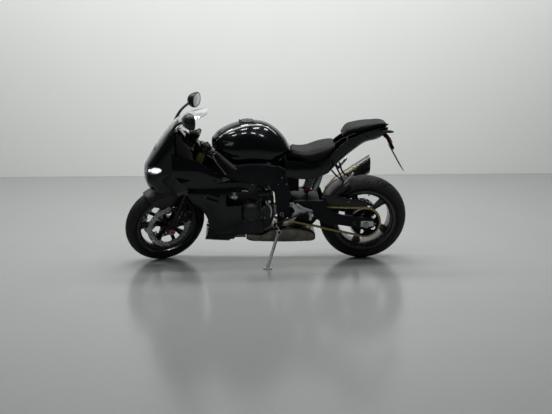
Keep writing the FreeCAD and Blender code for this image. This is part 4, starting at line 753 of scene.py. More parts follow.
def tyre(radius, crown, half, rim_half, period):
    """Tread with grooves, sidewalls and beads, and the lining inside."""
    middle = radius - crown
    limit = asin(half / crown)
    tread = [(middle + crown * cos(a), crown * sin(a), a) for a in np.linspace(-limit, limit, 73)]
    edge = middle + crown * cos(limit)
    side = flowing([(edge, half), (edge - 6, half - 0.6), ((edge + 236) / 2, (half + rim_half) / 2 + 1),
        (238, rim_half + 4), (235, rim_half + 2.5), (233.6, rim_half - 0.2), (220, rim_half - 1.2),
        (220, rim_half - 13)], 4)[1:]
    lining = [(middle + (crown - 9) * cos(a), (crown - 9) * sin(a) * (half - 9) / half)
        for a in np.linspace(limit, -limit, 15)]
    profile = [(r, y, 0.0, 0) for r, y in side[::-1] * (1, -1)]
    profile += [(r, y, a, 1) for r, y, a in tread]
    profile += [(r, y, 0.0, 0) for r, y in side]
    profile += [(r, y, 0.0, 0) for r, y in lining]
    profile = np.array(profile)
    turns = 600
    angle = np.linspace(0, 2 * pi, turns, endpoint=False)[:, None]
    r = np.repeat(profile[None, :, 0], turns, 0)
    y = np.repeat(profile[None, :, 1], turns, 0)
    arc = profile[:, 2] * crown
    around = angle * radius
    pitch = 2 * pi * radius / period
    depth = np.zeros_like(r)
    # each groove's ends: distance round the tread and out from its middle, and half width
    for s0, a0, s1, a1, wide in ((0, 0.02, 46, 0.46, 3.4), (46, 0.46, 70, 0.8, 3.0),
            (92, 0.16, 128, 0.62, 2.8), (20, 0.62, 34, 0.9, 2.4)):
        for flip, shift in ((1, 0), (-1, pitch / 2)):
            y0, y1 = a0 * limit * crown * flip, a1 * limit * crown * flip
            dx, dy = s1 - s0, y1 - y0
            for wrap in (-pitch, 0, pitch):
                px = (around + shift) % pitch - s0 + wrap
                py = arc[None, :] - y0
                t = np.clip((px * dx + py * dy) / (dx * dx + dy * dy), 0, 1)
                gap = np.hypot(px - t * dx, py - t * dy)
                depth = np.maximum(depth, np.clip((wide + 1.2 - gap) / 1.6, 0, 1))
    depth *= profile[None, :, 3] * GROOVE_DEPTH
    out = np.where(profile[None, :, 3] > 0, np.cos(profile[None, :, 2]), 0)
    aside = np.where(profile[None, :, 3] > 0, np.sin(profile[None, :, 2]), 0)
    r = r - depth * out
    y = y - depth * aside
    points = np.stack((r * np.cos(angle), y, r * np.sin(angle)), axis=2)
    count = len(profile)
    faces = [(i * count + j, i * count + (j + 1) % count, (i + 1) % turns * count + (j + 1) % count,
        (i + 1) % turns * count + j) for i in range(turns) for j in range(count)]
    return points.reshape(-1, 3), faces


# Carbon-black rubber: matt, greyer where dust has settled, with the mould's fine matt skin.
tyre_rubber = surface("tyre_rubber", "#131416", "#1f1f1e", 0.66, 0.1, patch=55, grain=1.2, relief=0.3,
    Specular_IOR_Level=0.25)
piece("front_tyre_moulding", tyre(300, 60, 58, 44.5, 11), tyre_rubber, ["front_tyre"], "tyre_rubber",
    angle=40, where=FRONT, body="front_wheel")
piece("rear_tyre_moulding", tyre(320.4, 103, 94, 76, 11), tyre_rubber, ["rear_tyre"], "tyre_rubber",
    angle=40, where=REAR, body="rear_wheel")

# ---------------- brakes
# Drilled stainless discs on black carriers, joined by floating buttons, with four-piston
# calipers at the fork's feet and a small one over the rear disc.


def about_axle(tree, where, way):
    """The distance in metres from a wheel's axle, in a material."""
    place = add(tree, "ShaderNodeTexCoord").outputs["Object"]
    offset = add(tree, "ShaderNodeVectorMath", {0: place, 1: where.translation}, operation="SUBTRACT")
    lever = add(tree, "ShaderNodeVectorMath", {0: offset.outputs[0], 1: way}, operation="CROSS_PRODUCT")
    return add(tree, "ShaderNodeVectorMath", {0: lever.outputs[0]}, operation="LENGTH").outputs[1]


def add_bump(tree, height, strength):
    """Press a coarser relief of 0.6 mm into a finish, over the grain it has."""
    shader = tree.nodes["Principled BSDF"]
    bump = add(tree, "ShaderNodeBump", {"Height": height, "Strength": strength, "Distance": 0.0006,
        "Normal": shader.inputs["Normal"].links[0].from_socket})
    tree.links.new(bump.outputs[0], shader.inputs["Normal"])


def disc_steel(name, where, way, carrier_mm):
    """Ground stainless with rings from the pads, on a hard-anodised black carrier."""
    material = surface(name, "#b4b6b8", "#96989a", 0.27, 0.06, 1.0, patch=25, grain=0.5, relief=0.05)
    tree = material.node_tree
    shader = tree.nodes["Principled BSDF"]
    reach = about_axle(tree, where, way)
    rings = add(tree, "ShaderNodeTexNoise", {"W": reach, "Scale": 900.0, "Detail": 4.0},
        noise_dimensions="1D")
    add_bump(tree, rings.outputs["Fac"], 0.35)
    swept = add(tree, "ShaderNodeMath", {0: reach, 1: carrier_mm / 1000}, operation="GREATER_THAN")
    base = shader.inputs["Base Color"].links[0].from_socket
    shade = add(tree, "ShaderNodeMix", {0: swept.outputs[0], 6: linear("#121315"), 7: base},
        data_type="RGBA")
    tree.links.new(shade.outputs[2], shader.inputs["Base Color"])
    return material


paint("front_brake_discs", disc_steel("ground_disc_front", FRONT, front_across, 119))
paint("rear_brake_disc", disc_steel("ground_disc_rear", REAR, rear_across, 78))
DISC_FACE = 67.2


def on_discs(count, radius, begin):
    """Spots evenly round the outer face of each front disc."""
    return [spot for s in (-1, 1) for spot in round_of(count, radius, (0, s * DISC_FACE, 0), (0, s, 0),
        begin)]


copies("disc_buttons", lathed([(4, 0), (4, 3), (8, 3), (9, 2), (9, 0), (4, 0)], 16),
    on_discs(10, 123, 18), where=FRONT, body="front_wheel")
CARRIER_SCREW = lathed([(0, 1), (2.4, 1), (2.5, 4), (5, 4), (6, 3), (6, 0), (0, 0)], 12)
copies("carrier_screws", CARRIER_SCREW, on_discs(5, 33, 0), random_turn=ANY_TURN, where=FRONT,
    body="front_wheel")
copies("rear_disc_screws", CARRIER_SCREW, round_of(5, 33, (0, 104, 0), (0, 1, 0)), random_turn=ANY_TURN,
    where=REAR, body="rear_wheel")

caliper_black = surface("hard_anodised_caliper", "#141518", "#1e1f22", 0.36, 0.07, 0.4, patch=25,
    grain=0.9, relief=0.15)
DISC_MIDDLE = 64.7


def front_caliper(side):
    """Two bolted halves round the disc, with piston caps and a bleed nipple."""
    outline = [(92, 22), (126, 18), (160, 34), (168, 74), (166, 112), (148, 121), (118, 106), (98, 64)]
    mid = side * DISC_MIDDLE
    halves = [slab(outline, mid + near, mid + far, 10) for near, far in ((-22, -8.5), (8.5, 22))]
    bridge = [slab([(150, 30), (166, 42), (169, 96), (158, 118), (168, 121), (170, 60), (164, 22)],
        mid - 22, mid + 22, 3), block((156, 168), (mid - 20, mid + 20), (62, 80), 3)]
    caps = [turned([(0, 0), (11, 0), (14, 1.5), (14, 3.5), (12, 4.5), (9, 3), (0, 3)],
        (x, mid + side * 22, z), (0, side, 0), 24) for x, z in ((124, 48), (141, 88))]
    nipple = bar((150, mid + side * 14, 118), (154, mid + side * 16, 130), 4)
    return joined(*halves, *bridge, *caps, nipple)


piece("front_caliper_bodies", joined(front_caliper(-1), front_caliper(1)), caliper_black,
    ["front_calipers"], "caliper_black", bevel=2, where=FRONT, body="steering")
copies("caliper_screws", FLANGE_SCREW,
    on_sides([(x, DISC_MIDDLE + 22, z) for x, z in ((108, 34), (150, 40), (118, 92), (158, 108))]),
    where=FRONT, body="steering")
REAR_HALF = [(-118, -30), (-100, -46), (-70, -44), (-62, -20), (-62, 26), (-84, 34), (-112, 24)]
rear_body = joined(
    slab(REAR_HALF, 84, 94, 8), slab(REAR_HALF, 109.5, 124, 8),
    block((-118, -112), (86, 122), (-26, 20)),
    slab([(-72, -28), (-20, -24), (-16, 8), (-72, 10)], 110, 123.5, 5),
    turned([(0, 0), (13, 0), (13, 3), (9, 2), (0, 2)], (-92, 124, -6), (0, 1, 0), 20))
piece("rear_caliper_body", rear_body, caliper_black, ["rear_brake_caliper"], "caliper_black", bevel=1.5,
    where=REAR)

# ---------------- chain and sprockets
# A sealed-ring chain of 118 links or so, with gold-plated side plates, on a hard-anodised
# sprocket with 44 teeth.
paint("rear_sprocket", disc_steel("hard_anodised_sprocket", REAR, rear_across, 104))
PITCH = 15.875
SMALL, LARGE = 43.2, 111.3
drive, driven = np.array((45.0, -112.0, 420.0)), np.array((728.5, -112.0, 320.4))
reach = driven - drive
apart = np.linalg.norm(reach)
along = reach / apart
upwards = np.cross(along, (0, 1, 0)) * -1
tilt = asin((LARGE - SMALL) / apart)
contact = {}
for side in (1, -1):
    normal = upwards * (side * cos(tilt)) - along * sin(tilt)
    contact[side] = (drive + normal * SMALL, driven + normal * LARGE)


def arc_between(centre, start, stop, through, radius):
    """Points round a sprocket from one contact to the other."""
    middle = centre + through * radius
    first, mid, last = [np.array(p) - centre for p in (start, middle, stop)]
    line = []
    for a, b in ((first, mid), (mid, last)):
        angle = acos(np.clip(a @ b / radius ** 2, -1, 1))
        for t in np.linspace(0, 1, 24, endpoint=False):
            line.append(centre + (a * sin((1 - t) * angle) + b * sin(t * angle)) / sin(angle))
    return line


loop = np.array([contact[1][0], *arc_between(driven, contact[1][1], contact[-1][1], along, LARGE),
    *arc_between(drive, contact[-1][0], contact[1][0], -along, SMALL), contact[1][0]])
steps_along = np.concatenate(([0], np.cumsum(np.linalg.norm(np.diff(loop, axis=0), axis=1))))
links = int(round(steps_along[-1] / PITCH / 2)) * 2
even = np.linspace(0, steps_along[-1], links + 1)
pins = np.stack([np.interp(even, steps_along, loop[:, k]) for k in range(3)], axis=1)
real_pitch = float(np.linalg.norm(pins[1] - pins[0]))


def link_plates(half_apart, thick):
    """One pair of waisted side plates, from its middle."""
    half = real_pitch / 2
    side = [(-half - 6.4, -2), (-half - 5, -5.4), (-half, -7.2), (-half + 4, -6), (0, -4.6)]
    outline = mirrored(side + [(-x, z) for x, z in reversed(side[:-1])])
    return joined(*[slab(outline, y, y + thick) for y in (-half_apart - thick, half_apart)])


def between(i):
    """The middle of a link and the way it runs."""
    a, b = pins[i], pins[(i + 1) % links]
    return (a + b) / 2, (0, -1, 0), Vector(b - a)


# Gold nickel plating, dulled by chain wax; the pins and rollers stay steel.
chain_gold = surface("gold_plated_links", "#b0a36a", "#84794c", 0.4, 0.1, 0.95, patch=14, grain=0.6,
    relief=0.15)


def placed(shape, place):
    """A shape moved by a matrix."""
    points, faces = shape
    return np.array([place @ Vector(p) for p in points]), faces


# stands a link drawn across the bike so that it faces its spot
stand_up = Matrix.Rotation(radians(90), 4, "X")
for first, name, half_apart in ((0, "chain_outer_plates", 8.6), (1, "chain_inner_plates", 6.0)):
    copies(name, placed(link_plates(half_apart, 2), stand_up), [between(i)
        for i in range(first, links, 2)], chain_gold, "chain_gold", angle=50)
ROLLER = lathed([(0, -10.8), (2.6, -10.8), (2.6, -5.5), (5, -5.5), (5, 5.5), (2.6, 5.5), (2.6, 10.8),
    (0, 10.8)], 10)
copies("chain_rollers", ROLLER, [(p, (0, -1, 0)) for p in pins[:-1]], slot="chain_gold", angle=50)
front_sprocket = turned([(0, -4), (18, -4), (20, -3.5), (38, -3.5), (46, -2.5), (46, 2.5), (38, 3.5),
    (20, 3.5), (18, 8), (0, 8)], drive, (0, -1, 0), 34)
piece("drive_sprocket", front_sprocket, axle_steel, ["drive_chain"])

# ---------------- fork
# Upside-down fork: anodised upper tubes clamped in two yokes, chromed lower tubes (drawn dark
# as painted shade) with cast feet that hold the axle and the calipers.
FORK_AHEAD = (FORK.inverted() @ FRONT.translation).x
AXLE_UP = (FORK.inverted() @ FRONT.translation).z
# Anodised aluminium, a dull olive gold with a soft sheen.
anodised_gold = surface("gold_anodised_alloy", "#635b32", "#524c2b", 0.34, 0.06, 0.9, patch=30, grain=0.6,
    relief=0.08)
# Painted shade: the chromed lower tubes drawn dark, still near a mirror, for the fairing's shadow on them.
fork_tube_painted_shade = surface("black_carbide_coating", "#2a2a2c", "#222224", 0.12, 0.04, 0.9, patch=40,
    grain=0.6, relief=0.03)
anodised_black = surface("black_anodised_alloy", "#121315", "#1b1c1e", 0.33, 0.06, 0.55, patch=30,
    grain=0.8, relief=0.12)
LEG_OUT = 105


def on_legs(profile, steps):
    """A lathe shape round each of the two fork legs."""
    return joined(*[turned(profile, (FORK_AHEAD, s * LEG_OUT, 0), (0, 0, 1), steps) for s in (-1, 1)])


uppers = on_legs([(23, 620), (29.5, 620), (29.5, 636), (28, 640), (28, 1018), (23, 1018), (23, 620)], 48)
piece("fork_upper_tubes", uppers, anodised_gold, ["fork_outer_tubes"], "fork_gold", bevel=0.6, **ON_FORK)
# The lower tubes wear the painted shade: dark for the fairing's shadow, not the bright chrome they are.
lowers = on_legs([(0, 330), (22.5, 330), (22.5, 850), (0, 850)], 48)
piece("fork_lower_tubes", lowers, fork_tube_painted_shade, ["fork_inner_tubes"], "fork_chrome", **ON_FORK)
feet = []
for s in (-1, 1):
    a, z = FORK_AHEAD, AXLE_UP
    feet.append(slab([(a - 26, z - 22), (a - 12, z - 32), (a + 14, z - 32), (a + 27, z - 18),
        (a + 27, z + 26), (a + 24, z + 62), (a - 24, z + 62), (a - 27, z + 20)], s * LEG_OUT - 22,
        s * LEG_OUT + 22, 8))
    feet.append(turned([(22.6, z + 50), (27, z + 50), (27, z + 70), (24, z + 78), (22.6, z + 78),
        (22.6, z + 50)], (a, s * LEG_OUT, 0), (0, 0, 1), 40))
    near, far = sorted((s * 89, s * 101))
    feet.append(slab([(a + 12, z + 28), (a + 46, z + 28), (a + 61, z + 44), (a + 61, z + 98),
        (a + 50, z + 111), (a + 38, z + 104), (a + 30, z + 62), (a + 12, z + 58)], near, far, 7))
piece("fork_feet", joined(*feet), anodised_black, slot="caliper_black", bevel=2.5, **ON_FORK)
seals = on_legs([(22.7, 610), (28, 610), (29, 614), (29, 620), (22.7, 620), (22.7, 610)], 40)
piece("dust_seals", seals, hose_rubber, **ON_FORK)
caps = on_legs([(0, 1030), (8, 1030), (9, 1028), (9, 1022), (20, 1022), (24, 1019), (27, 1016),
    (27, 1010), (0, 1010)], 24)
piece("fork_caps", caps, anodised_black, bevel=0.5, **ON_FORK)
yokes = []
for height in (758, 948):
    outline = [(26, 0), (20, 30), (-4, 64), (FORK_AHEAD + 30, 105), (FORK_AHEAD + 20, 132),
        (FORK_AHEAD, 142), (FORK_AHEAD - 22, 132), (FORK_AHEAD - 32, 104), (FORK_AHEAD - 20, 60),
        (FORK_AHEAD - 14, 0)]
    flat = eased(outline + [(x, -y) for x, y in outline[-2:0:-1]], 10)
    yokes.append(wrapped([[(x, y, z) for x, y in flat] for z in (height, height + 26)], True))
stem = lathed([(8.2, 744), (15, 744), (15, 976), (24, 976), (26, 978), (26, 984), (22, 988), (8.2, 988),
    (8.2, 744)], 32)
piece("fork_yokes", joined(*yokes, stem), anodised_black, ["fork_clamps"], "bar_black", bevel=2.5,
    **ON_FORK)
paint("front_axle", axle_steel)
PINCH = lathed([(0, 2), (2.8, 2), (2.9, 6), (5, 6), (5.6, 5), (5.6, -3), (0, -3)], 12)
pinch_spots = [((FORK_AHEAD + 29, s * (LEG_OUT + 12), h + 13), (1, 0, 0)) for s in (-1, 1)
    for h in (758, 948)]
pinch_spots += [((FORK_AHEAD + 27, s * LEG_OUT + e, AXLE_UP + d), (1, 0, 0)) for s in (-1, 1)
    for e in (-10, 10) for d in (-20, -8)]
copies("pinch_screws", PINCH, pinch_spots, random_turn=ANY_TURN, **ON_FORK)
axle_caps = [turned([(0, 15), (9, 15), (10, 13), (18, 13), (24, 15), (26, 12), (26, 0), (0, 0)],
    (0, s * 128.4, 0), (0, s, 0), 28) for s in (-1, 1)]
piece("axle_bobbins", joined(*axle_caps), anodised_red, slot="axle_steel", bevel=0.8, where=FRONT,
    body="steering")

# ---------------- bars and levers
# Forged clip-on bars clamped over the fork tubes, with rubber grips, switch boxes, levers
# and the two fluid reservoirs.
BAR_ROOT = np.array((-10.0, -105.0, 998.0))
sweep, droop = radians(30), radians(8)
bar_out = np.array((sin(sweep) * cos(droop), -cos(sweep) * cos(droop), -sin(droop)))
bar_ahead = np.array((-cos(sweep), -sin(sweep), 0))


def by_bar(distance, forward=0.0, up=0.0):
    """A point beside the left bar."""
    return BAR_ROOT + bar_out * distance + bar_ahead * forward + np.array((0, 0, up))


clamp = turned(band(28.4, 38, 980, 1010), (FORK_AHEAD, -LEG_OUT, 0), (0, 0, 1), 40)
handle = bar(by_bar(8), by_bar(262), 11)
clamp_lug = bar(by_bar(6), by_bar(30), 17, 3)
weight = turned([(0, 0), (13, 0), (14, 2), (14, 20), (11, 26), (0, 26)], by_bar(256), bar_out, 28)
switch_box = turned([(0, 0), (19, 0), (20, 3), (20, 26), (18, 30), (0, 30)], by_bar(96), bar_out, 8)
perch = joined(bar(by_bar(84), by_bar(84, 40, -10), 10, 2), turned(band(11.2, 17, -10, 10), by_bar(84),
    bar_out, 28))
piece("clip_on_bars", both(joined(clamp, handle, clamp_lug, weight, switch_box, perch)), anodised_black,
    ["handlebars"], "bar_black", bevel=1, **ON_FORK)
lever = tube([by_bar(82, 42, -10), by_bar(104, 56, -16), by_bar(140, 63, -27), by_bar(190, 62, -38),
    by_bar(232, 62, -46), by_bar(250, 66, -50)], [8, 7.4, 6, 5.4, 5.4, 7], 6, 12, 0.75)
lever_pivot = bar(by_bar(86, 42, -18), by_bar(86, 42, 0), 8)
piece("levers", both(joined(lever, lever_pivot)), anodised_black, slot="bar_black", **ON_FORK)
# Soft rubber grips, ribbed where the fingers close.
grip_rubber = surface("grip_rubber", "#121213", "#1b1b1c", 0.7, 0.06, patch=12, grain=0.9, relief=0.4)
GRIP = [(11.2, 0), (20, 0), (20, 4), (16, 7), (16, 120), (17.5, 124), (17.5, 128), (11.2, 128), (11.2, 0)]
piece("grips", both(turned(GRIP, by_bar(128), bar_out, 32)), grip_rubber, slot="bar_black", bevel=0.8,
    **ON_FORK)
RIB = lathed([(15.5, -1.2), (17, -1), (17, 1), (15.5, 1.2), (15.5, -1.2)], 16)
rib_spots = []
for s in (-1, 1):
    for d in range(138, 246, 6):
        x, y, z = by_bar(d)
        rib_spots.append(((x, -y * s, z), (bar_out[0], -bar_out[1] * s, bar_out[2])))
copies("grip_ribs", RIB, rib_spots, grip_rubber, angle=50, **ON_FORK)
cup_at = by_bar(70, 62, -4) * (1, -1, 1)
reservoirs = joined(turned([(0, 0), (14, 0), (16, 3), (16, 26), (17, 27), (17, 38), (14, 40), (0, 40)],
    cup_at, (0, 0, 1), 28), turned([(0, 0), (10, 0), (11, 2), (11, 20), (12, 21), (12, 28), (0, 29)],
    (cup_at[0] + 6, -cup_at[1], cup_at[2] - 4), (0, 0, 1), 24))
# Translucent nylon cup, smoky from the fluid inside.
smoky_nylon = surface("smoky_nylon", "#2a2723", "#1d1b19", 0.3, 0.06, patch=15, grain=0.8, relief=0.06,
    Subsurface_Weight=0.1)
piece("fluid_reservoirs", reservoirs, smoky_nylon, bevel=0.8, **ON_FORK)
# Braided brake hoses, clipped down the back of the fork.
brake_lines = [tube([(-14, s * 40, 742), (-30, s * 64, 700), (FORK_AHEAD + 34, s * 92, 620),
    (FORK_AHEAD + 36, s * 96, 520), (FORK_AHEAD + 40, s * 92, 470),
    (FORK_AHEAD + 70, s * 84, AXLE_UP + 130)], 3.2, 6, 10) for s in (-1, 1)]
piece("brake_hoses", joined(*brake_lines), hose_rubber, **ON_FORK)

# ---------------- side stand
# Forged alloy leg on a pin through the frame's bracket, with its return spring and a flat
# foot welded to its end.
GROUND = Matrix.Scale(0.001, 4)
stand_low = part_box("side_stand")[0] * 1000
ankle = Vector((stand_low.x + 34, stand_low.y + 30, 10))
pivot_mm = stand_pivot * 1000
leg_way = (ankle - pivot_mm).normalized()
leg = tube([pivot_mm + leg_way * 12, pivot_mm + leg_way * 60, (pivot_mm + ankle) / 2,
    ankle - leg_way * 30, ankle], [12, 12, 11.5, 11, 12], 5, 20)
knuckle = turned([(6.1, -11), (15, -11), (17, -9), (17, 13), (15, 15), (6.1, 15), (6.1, -11)], pivot_mm,
    stand_axis, 32)
foot = slab([(ankle.x - 34, 0), (ankle.x + 30, 0), (ankle.x + 28, 7), (ankle.x - 32, 7)], ankle.y - 30,
    ankle.y + 22)
toe = turned([(0, 0), (14, 0), (14, 8), (11, 14), (0, 14)], (ankle.x, ankle.y, 0), (0, 0, 1), 24)
# Silver stove enamel: pale, a soft sparkle, dulled near the foot.
silver_enamel = surface("silver_stove_enamel", "#c4c6c8", "#aeb0b3", 0.38, 0.07, 0.35, patch=25,
    grain=0.6, relief=0.1)
piece("stand_leg", joined(leg, knuckle, foot, toe), silver_enamel, ["side_stand"], "stand_steel", bevel=1,
    where=GROUND, body="side_stand")
spring = coiled(pivot_mm + leg_way * 26 + stand_axis * 15, leg_way, stand_axis, 5, 110, 22, 6, 1.3, 6)
piece("stand_spring", spring, spring_silver, slot="stand_steel", where=GROUND, body="side_stand")

# ---------------- footrests
# Machined alloy hangers bolted to the pivot plates, with knurled pegs, heel guards, the
# gear and brake pedals, and fold-up passenger pegs on struts.
hanger = slab([(172, 502), (198, 502), (246, 458), (326, 438), (342, 424), (330, 366), (312, 366),
    (318, 408), (248, 424), (200, 362), (172, 364), (212, 440)], -176, -168, 6)
heel_guard = slab([(216, 488), (226, 500), (272, 468), (330, 450), (340, 436), (332, 432), (262, 456)],
    -181, -177, 4)
posts = [bar((x, -176, z), (x, -163, z), 8) for x, z in ((187, 489), (188, 376))]
peg = bar((328, -174, 428), (328, -248, 428), 10, 1.5, 20)
pedal = tube([(300, -182, 424), (240, -186, 412), (200, -190, 400), (110, -200, 366), (62, -206, 352)],
    [7, 6, 6, 6, 7], 5, 12)
pedal_parts = [bar((66, -200, 352), (66, -236, 352), 8, 1), bar((300, -174, 424), (300, -190, 424), 10, 1)]
piece("footrest_hangers", both(joined(hanger, heel_guard, peg, *posts)), silver_enamel, ["footrests"],
    "rest_alloy", bevel=1)
piece("foot_pedals", both(joined(pedal, *pedal_parts)), anodised_black, bevel=1)
KNURL = lathed([(9.5, -1.4), (11, -0.8), (11, 0.8), (9.5, 1.4), (9.5, -1.4)], 12)
copies("peg_knurling", KNURL, on_sides([(328, d, 428) for d in range(182, 246, 4)]), polished_alloy,
    "rest_alloy", angle=50)
struts = joined(
    tube([(476, -140, 798), (496, -143, 764), (514, -146, 730), (552, -160, 656)], 6, 5),
    tube([(472, -108, 722), (500, -130, 692), (552, -160, 656)], 6, 5),
    bar((552, -152, 654), (552, -176, 654), 13))
piece("passenger_struts", both(struts), anodised_black, bevel=0.8)
folded_peg = turned([(0, 0), (7, 0), (10, 6), (10, 96), (8, 104), (0, 104)], (552, -166, 642),
    (68, -10, 80), 18)
piece("passenger_pegs", both(folded_peg), polished_alloy, bevel=1)
copies("hanger_screws", BUTTON_SCREW, on_sides([(188, 176, z) for z in (376, 489)]), random_turn=ANY_TURN)

# ---------------- fuel tank
# Pressed and welded steel tank, with the filler ring let into its top.
# Gloss black lacquer: nearly a mirror, with the faint orange peel of sprayed paint and a
# film of dust that dulls it in patches.
gloss_black = surface("gloss_black_lacquer", "#030507", "#06080b", 0.2, 0.05, patch=140, grain=5.0,
    relief=0.035, Specular_IOR_Level=0.1, Coat_Weight=0.48, Coat_Roughness=0.03)


def closing(rows, first, last):
    """Close a loft's ends with sections that shrink over the given depths."""
    rows = [np.array(row, float) for row in rows]

    def shrunk(row, depth):
        middle = row.mean(axis=0)
        return [middle + (row - middle) * cos(a) + np.array((depth * sin(a), 0, 0))
            for a in np.radians((25, 50, 70, 85))]
    return shrunk(rows[0], -first)[::-1] + rows + shrunk(rows[-1], last)


# X, then half width and height: bottom, side, waist line, shoulder, crown
TANK = ((-366, 38, 880, 50, 902, 46, 922, 36, 936, 16, 944),
        (-335, 84, 856, 120, 896, 108, 934, 84, 958, 38, 975),
        (-240, 148, 808, 176, 886, 154, 954, 118, 996, 56, 1024),
        (-90, 164, 813, 188, 886, 166, 964, 126, 1014, 60, 1051),
        (20, 156, 812, 170, 868, 150, 940, 112, 986, 54, 1030),
        (100, 115, 809, 132, 850, 120, 900, 92, 938, 46, 975),
        (150, 84, 848, 106, 866, 99, 882, 78, 900, 40, 919),
        (178, 73, 855, 85, 860, 80, 866, 66, 870, 34, 874))
tank_sections = [flowing(arch(row), 5, loop=True) for row in TANK]
tank_body = wrapped(flowing(closing(tank_sections, 8, 5), 6), True)
hinge_pivot = to_bike @ Vector(joints["fuel_cap_open"]["pos_m"])
FILLER = Vector((hinge_pivot.x + 54, 0, hinge_pivot.z - 10))
filler_ring = turned([(52, -8), (52, -1), (53, 0), (58, 0), (60, -2), (62, -14), (66, -30), (52, -30),
    (0, -30), (0, -8), (52, -8)], FILLER, (0, 0, 1), 64)
piece("tank_shell", tank_body, gloss_black, ["fuel_tank"], "black_tank", angle=50)
piece("filler_ring", filler_ring, anodised_black, bevel=0.4)
ears = [block((hinge_pivot.x - 5, hinge_pivot.x + 3.5), sorted((s * 9, s * 13)),
    (FILLER.z - 4, hinge_pivot.z + 3), 1.5) for s in (-1, 1)]
hinge_pin = bar(hinge_pivot - Vector((0, 13, 0)), hinge_pivot + Vector((0, 13, 0)), 2, 0.4)
piece("filler_hinge", joined(*ears, hinge_pin), axle_steel, bevel=0.5)
# Machined and anodised cap with a ring of dummy screws and a flap over its key slot.
top = hinge_pivot.z - 2 - FILLER.z
lid = turned([(0, top - 6), (48, top - 6), (49, top - 5), (49, top - 1), (47, top), (40, top),
    (38, top - 1.5), (30, top - 1.5), (28, top), (0, top)], FILLER, (0, 0, 1), 64)
plug = turned([(0, -5), (29, -5), (30, -4), (30, top - 6), (0, top - 6)], FILLER, (0, 0, 1), 40)
key_flap = block((FILLER.x - 9, FILLER.x + 12), (-7, 7), (FILLER.z + top, FILLER.z + top + 2), 1)
barrel = turned([(2.1, -8), (4.2, -8), (4.4, -7.8), (4.4, 7.8), (4.2, 8), (2.1, 8), (2.1, -8)],
    hinge_pivot, (0, 1, 0), 24)
lug = slab([(hinge_pivot.x + 3, hinge_pivot.z - 4), (hinge_pivot.x + 12, hinge_pivot.z - 4),
    (hinge_pivot.x + 12, hinge_pivot.z - 1), (hinge_pivot.x + 3, hinge_pivot.z)], -8, 8)
piece("filler_lid", joined(lid, plug, key_flap, barrel, lug), anodised_black, ["fuel_cap"], "cap_metal",
    bevel=0.5, body="fuel_cap")
copies("filler_screws", CARRIER_SCREW, round_of(7, 43.5, FILLER + Vector((0, 0, top - 1)), (0, 0, 1)),
    size=0.6, random_turn=ANY_TURN, body="fuel_cap")

# ---------------- bodywork
# Injection-moulded panels about 3 mm thick, lacquered gloss black, screwed to each other.


def shell(rows, steps, wall, sharp_across=(), centre=None, inset=0.0):
    """A thin panel through open sections, its wall on the side of the bike's middle."""
    outside = flowing(np.array([flowing(row, steps, sharp_across) for row in rows]), steps)
    du, dv = np.gradient(outside, axis=0), np.gradient(outside, axis=1)
    normal = np.cross(du, dv)
    normal /= np.maximum(np.linalg.norm(normal, axis=2, keepdims=True), 1e-9)
    middle = np.array((outside[..., 0].mean(), 0, outside[..., 2].mean()) if centre is None else centre)
    if ((outside - middle) * normal).sum() < 0:
        normal = -normal
    outside = outside - normal * inset
    inside = outside - normal * wall
    down, wide = outside.shape[:2]
    faces = []
    for i in range(down - 1):
        for j in range(wide - 1):
            quad = (i * wide + j, i * wide + j + 1, (i + 1) * wide + j + 1, (i + 1) * wide + j)
            faces += [quad, tuple(down * wide + v for v in quad[::-1])]
    last = (down - 1) * wide
    border = [*range(wide), *range(2 * wide - 1, down * wide, wide), *range(last + wide - 2, last - 1,
        -1), *range(last - wide, 0, -wide)]
    for a, b in zip(border, border[1:] + border[:1]):
        faces.append((a, b, down * wide + b, down * wide + a))
    return np.vstack((outside.reshape(-1, 3), inside.reshape(-1, 3))), faces


def trimmed(obj, *cutters, inside=()):
    """Cut shapes out of a panel that isn't on its body yet, and keep what lies inside others."""
    tools = []
    for number, shape in enumerate(cutters + tuple(inside)):
        tool = piece(f"{obj.name}_tool_{number}", shape, gloss_black, ride=False)
        cut = obj.modifiers.new("opening", "BOOLEAN")
        cut.operation = "DIFFERENCE" if number < len(cutters) else "INTERSECT"
        cut.solver, cut.object = "EXACT", tool
        tools.append(tool)
    settle(obj)
    for tool in tools:
        bpy.data.objects.remove(tool)
    obj.data.shade_smooth()
    obj.data.set_sharp_from_angle(angle=radians(38))


LAMP_MIDDLE, LAMP_HALF = (-774, 750), (64, 34)
LAMP = ((-838, 714), (-812, 722), (-768, 725), (-722, 744), (-710, 764), (-730, 781), (-776, 783),
    (-816, 768), (-838, 744))


def lamp_prisms(grow, outline=LAMP):
    """Prisms through both sides of the nose, a headlight's outline grown by a gap."""
    line = [tuple(m + (v - m) * (1 + grow / h) for v, m, h in zip(corner, LAMP_MIDDLE, LAMP_HALF))
        for corner in outline]
    return both(slab(line, -260, -34, 6))


# X, then half width and height: lower edge, cheek, crease, brow, top
COWL = ((-852, 40, 645, 60, 668, 62, 696, 50, 730, 16, 752),
        (-822, 120, 622, 148, 664, 142, 700, 110, 775, 34, 802),
        (-776, 158, 600, 184, 668, 182, 716, 146, 830, 60, 874),
        (-705, 184, 592, 204, 690, 204, 760, 170, 925, 90, 968),
        (-645, 196, 610, 214, 720, 210, 804, 186, 985, 110, 1050),
        (-620, 200, 640, 214, 740, 211, 830, 190, 1016, 120, 1076))
cowl = piece("nose_cowl", shell([arch(row) for row in COWL], 6, 3), gloss_black, ride=False)
opening = mirrored([(-771, 93), (-700, 127.5), (-617, 145), (-500, 145)])
screen_hole = wrapped([[(x, y, z) for x, y in opening] for z in (800, 1200)], True)
trimmed(cowl, screen_hole, block((-900, -600), (-112, 112), (560, 650)), lamp_prisms(1.5))
carried(cowl, "chassis", ["front_cowl"])
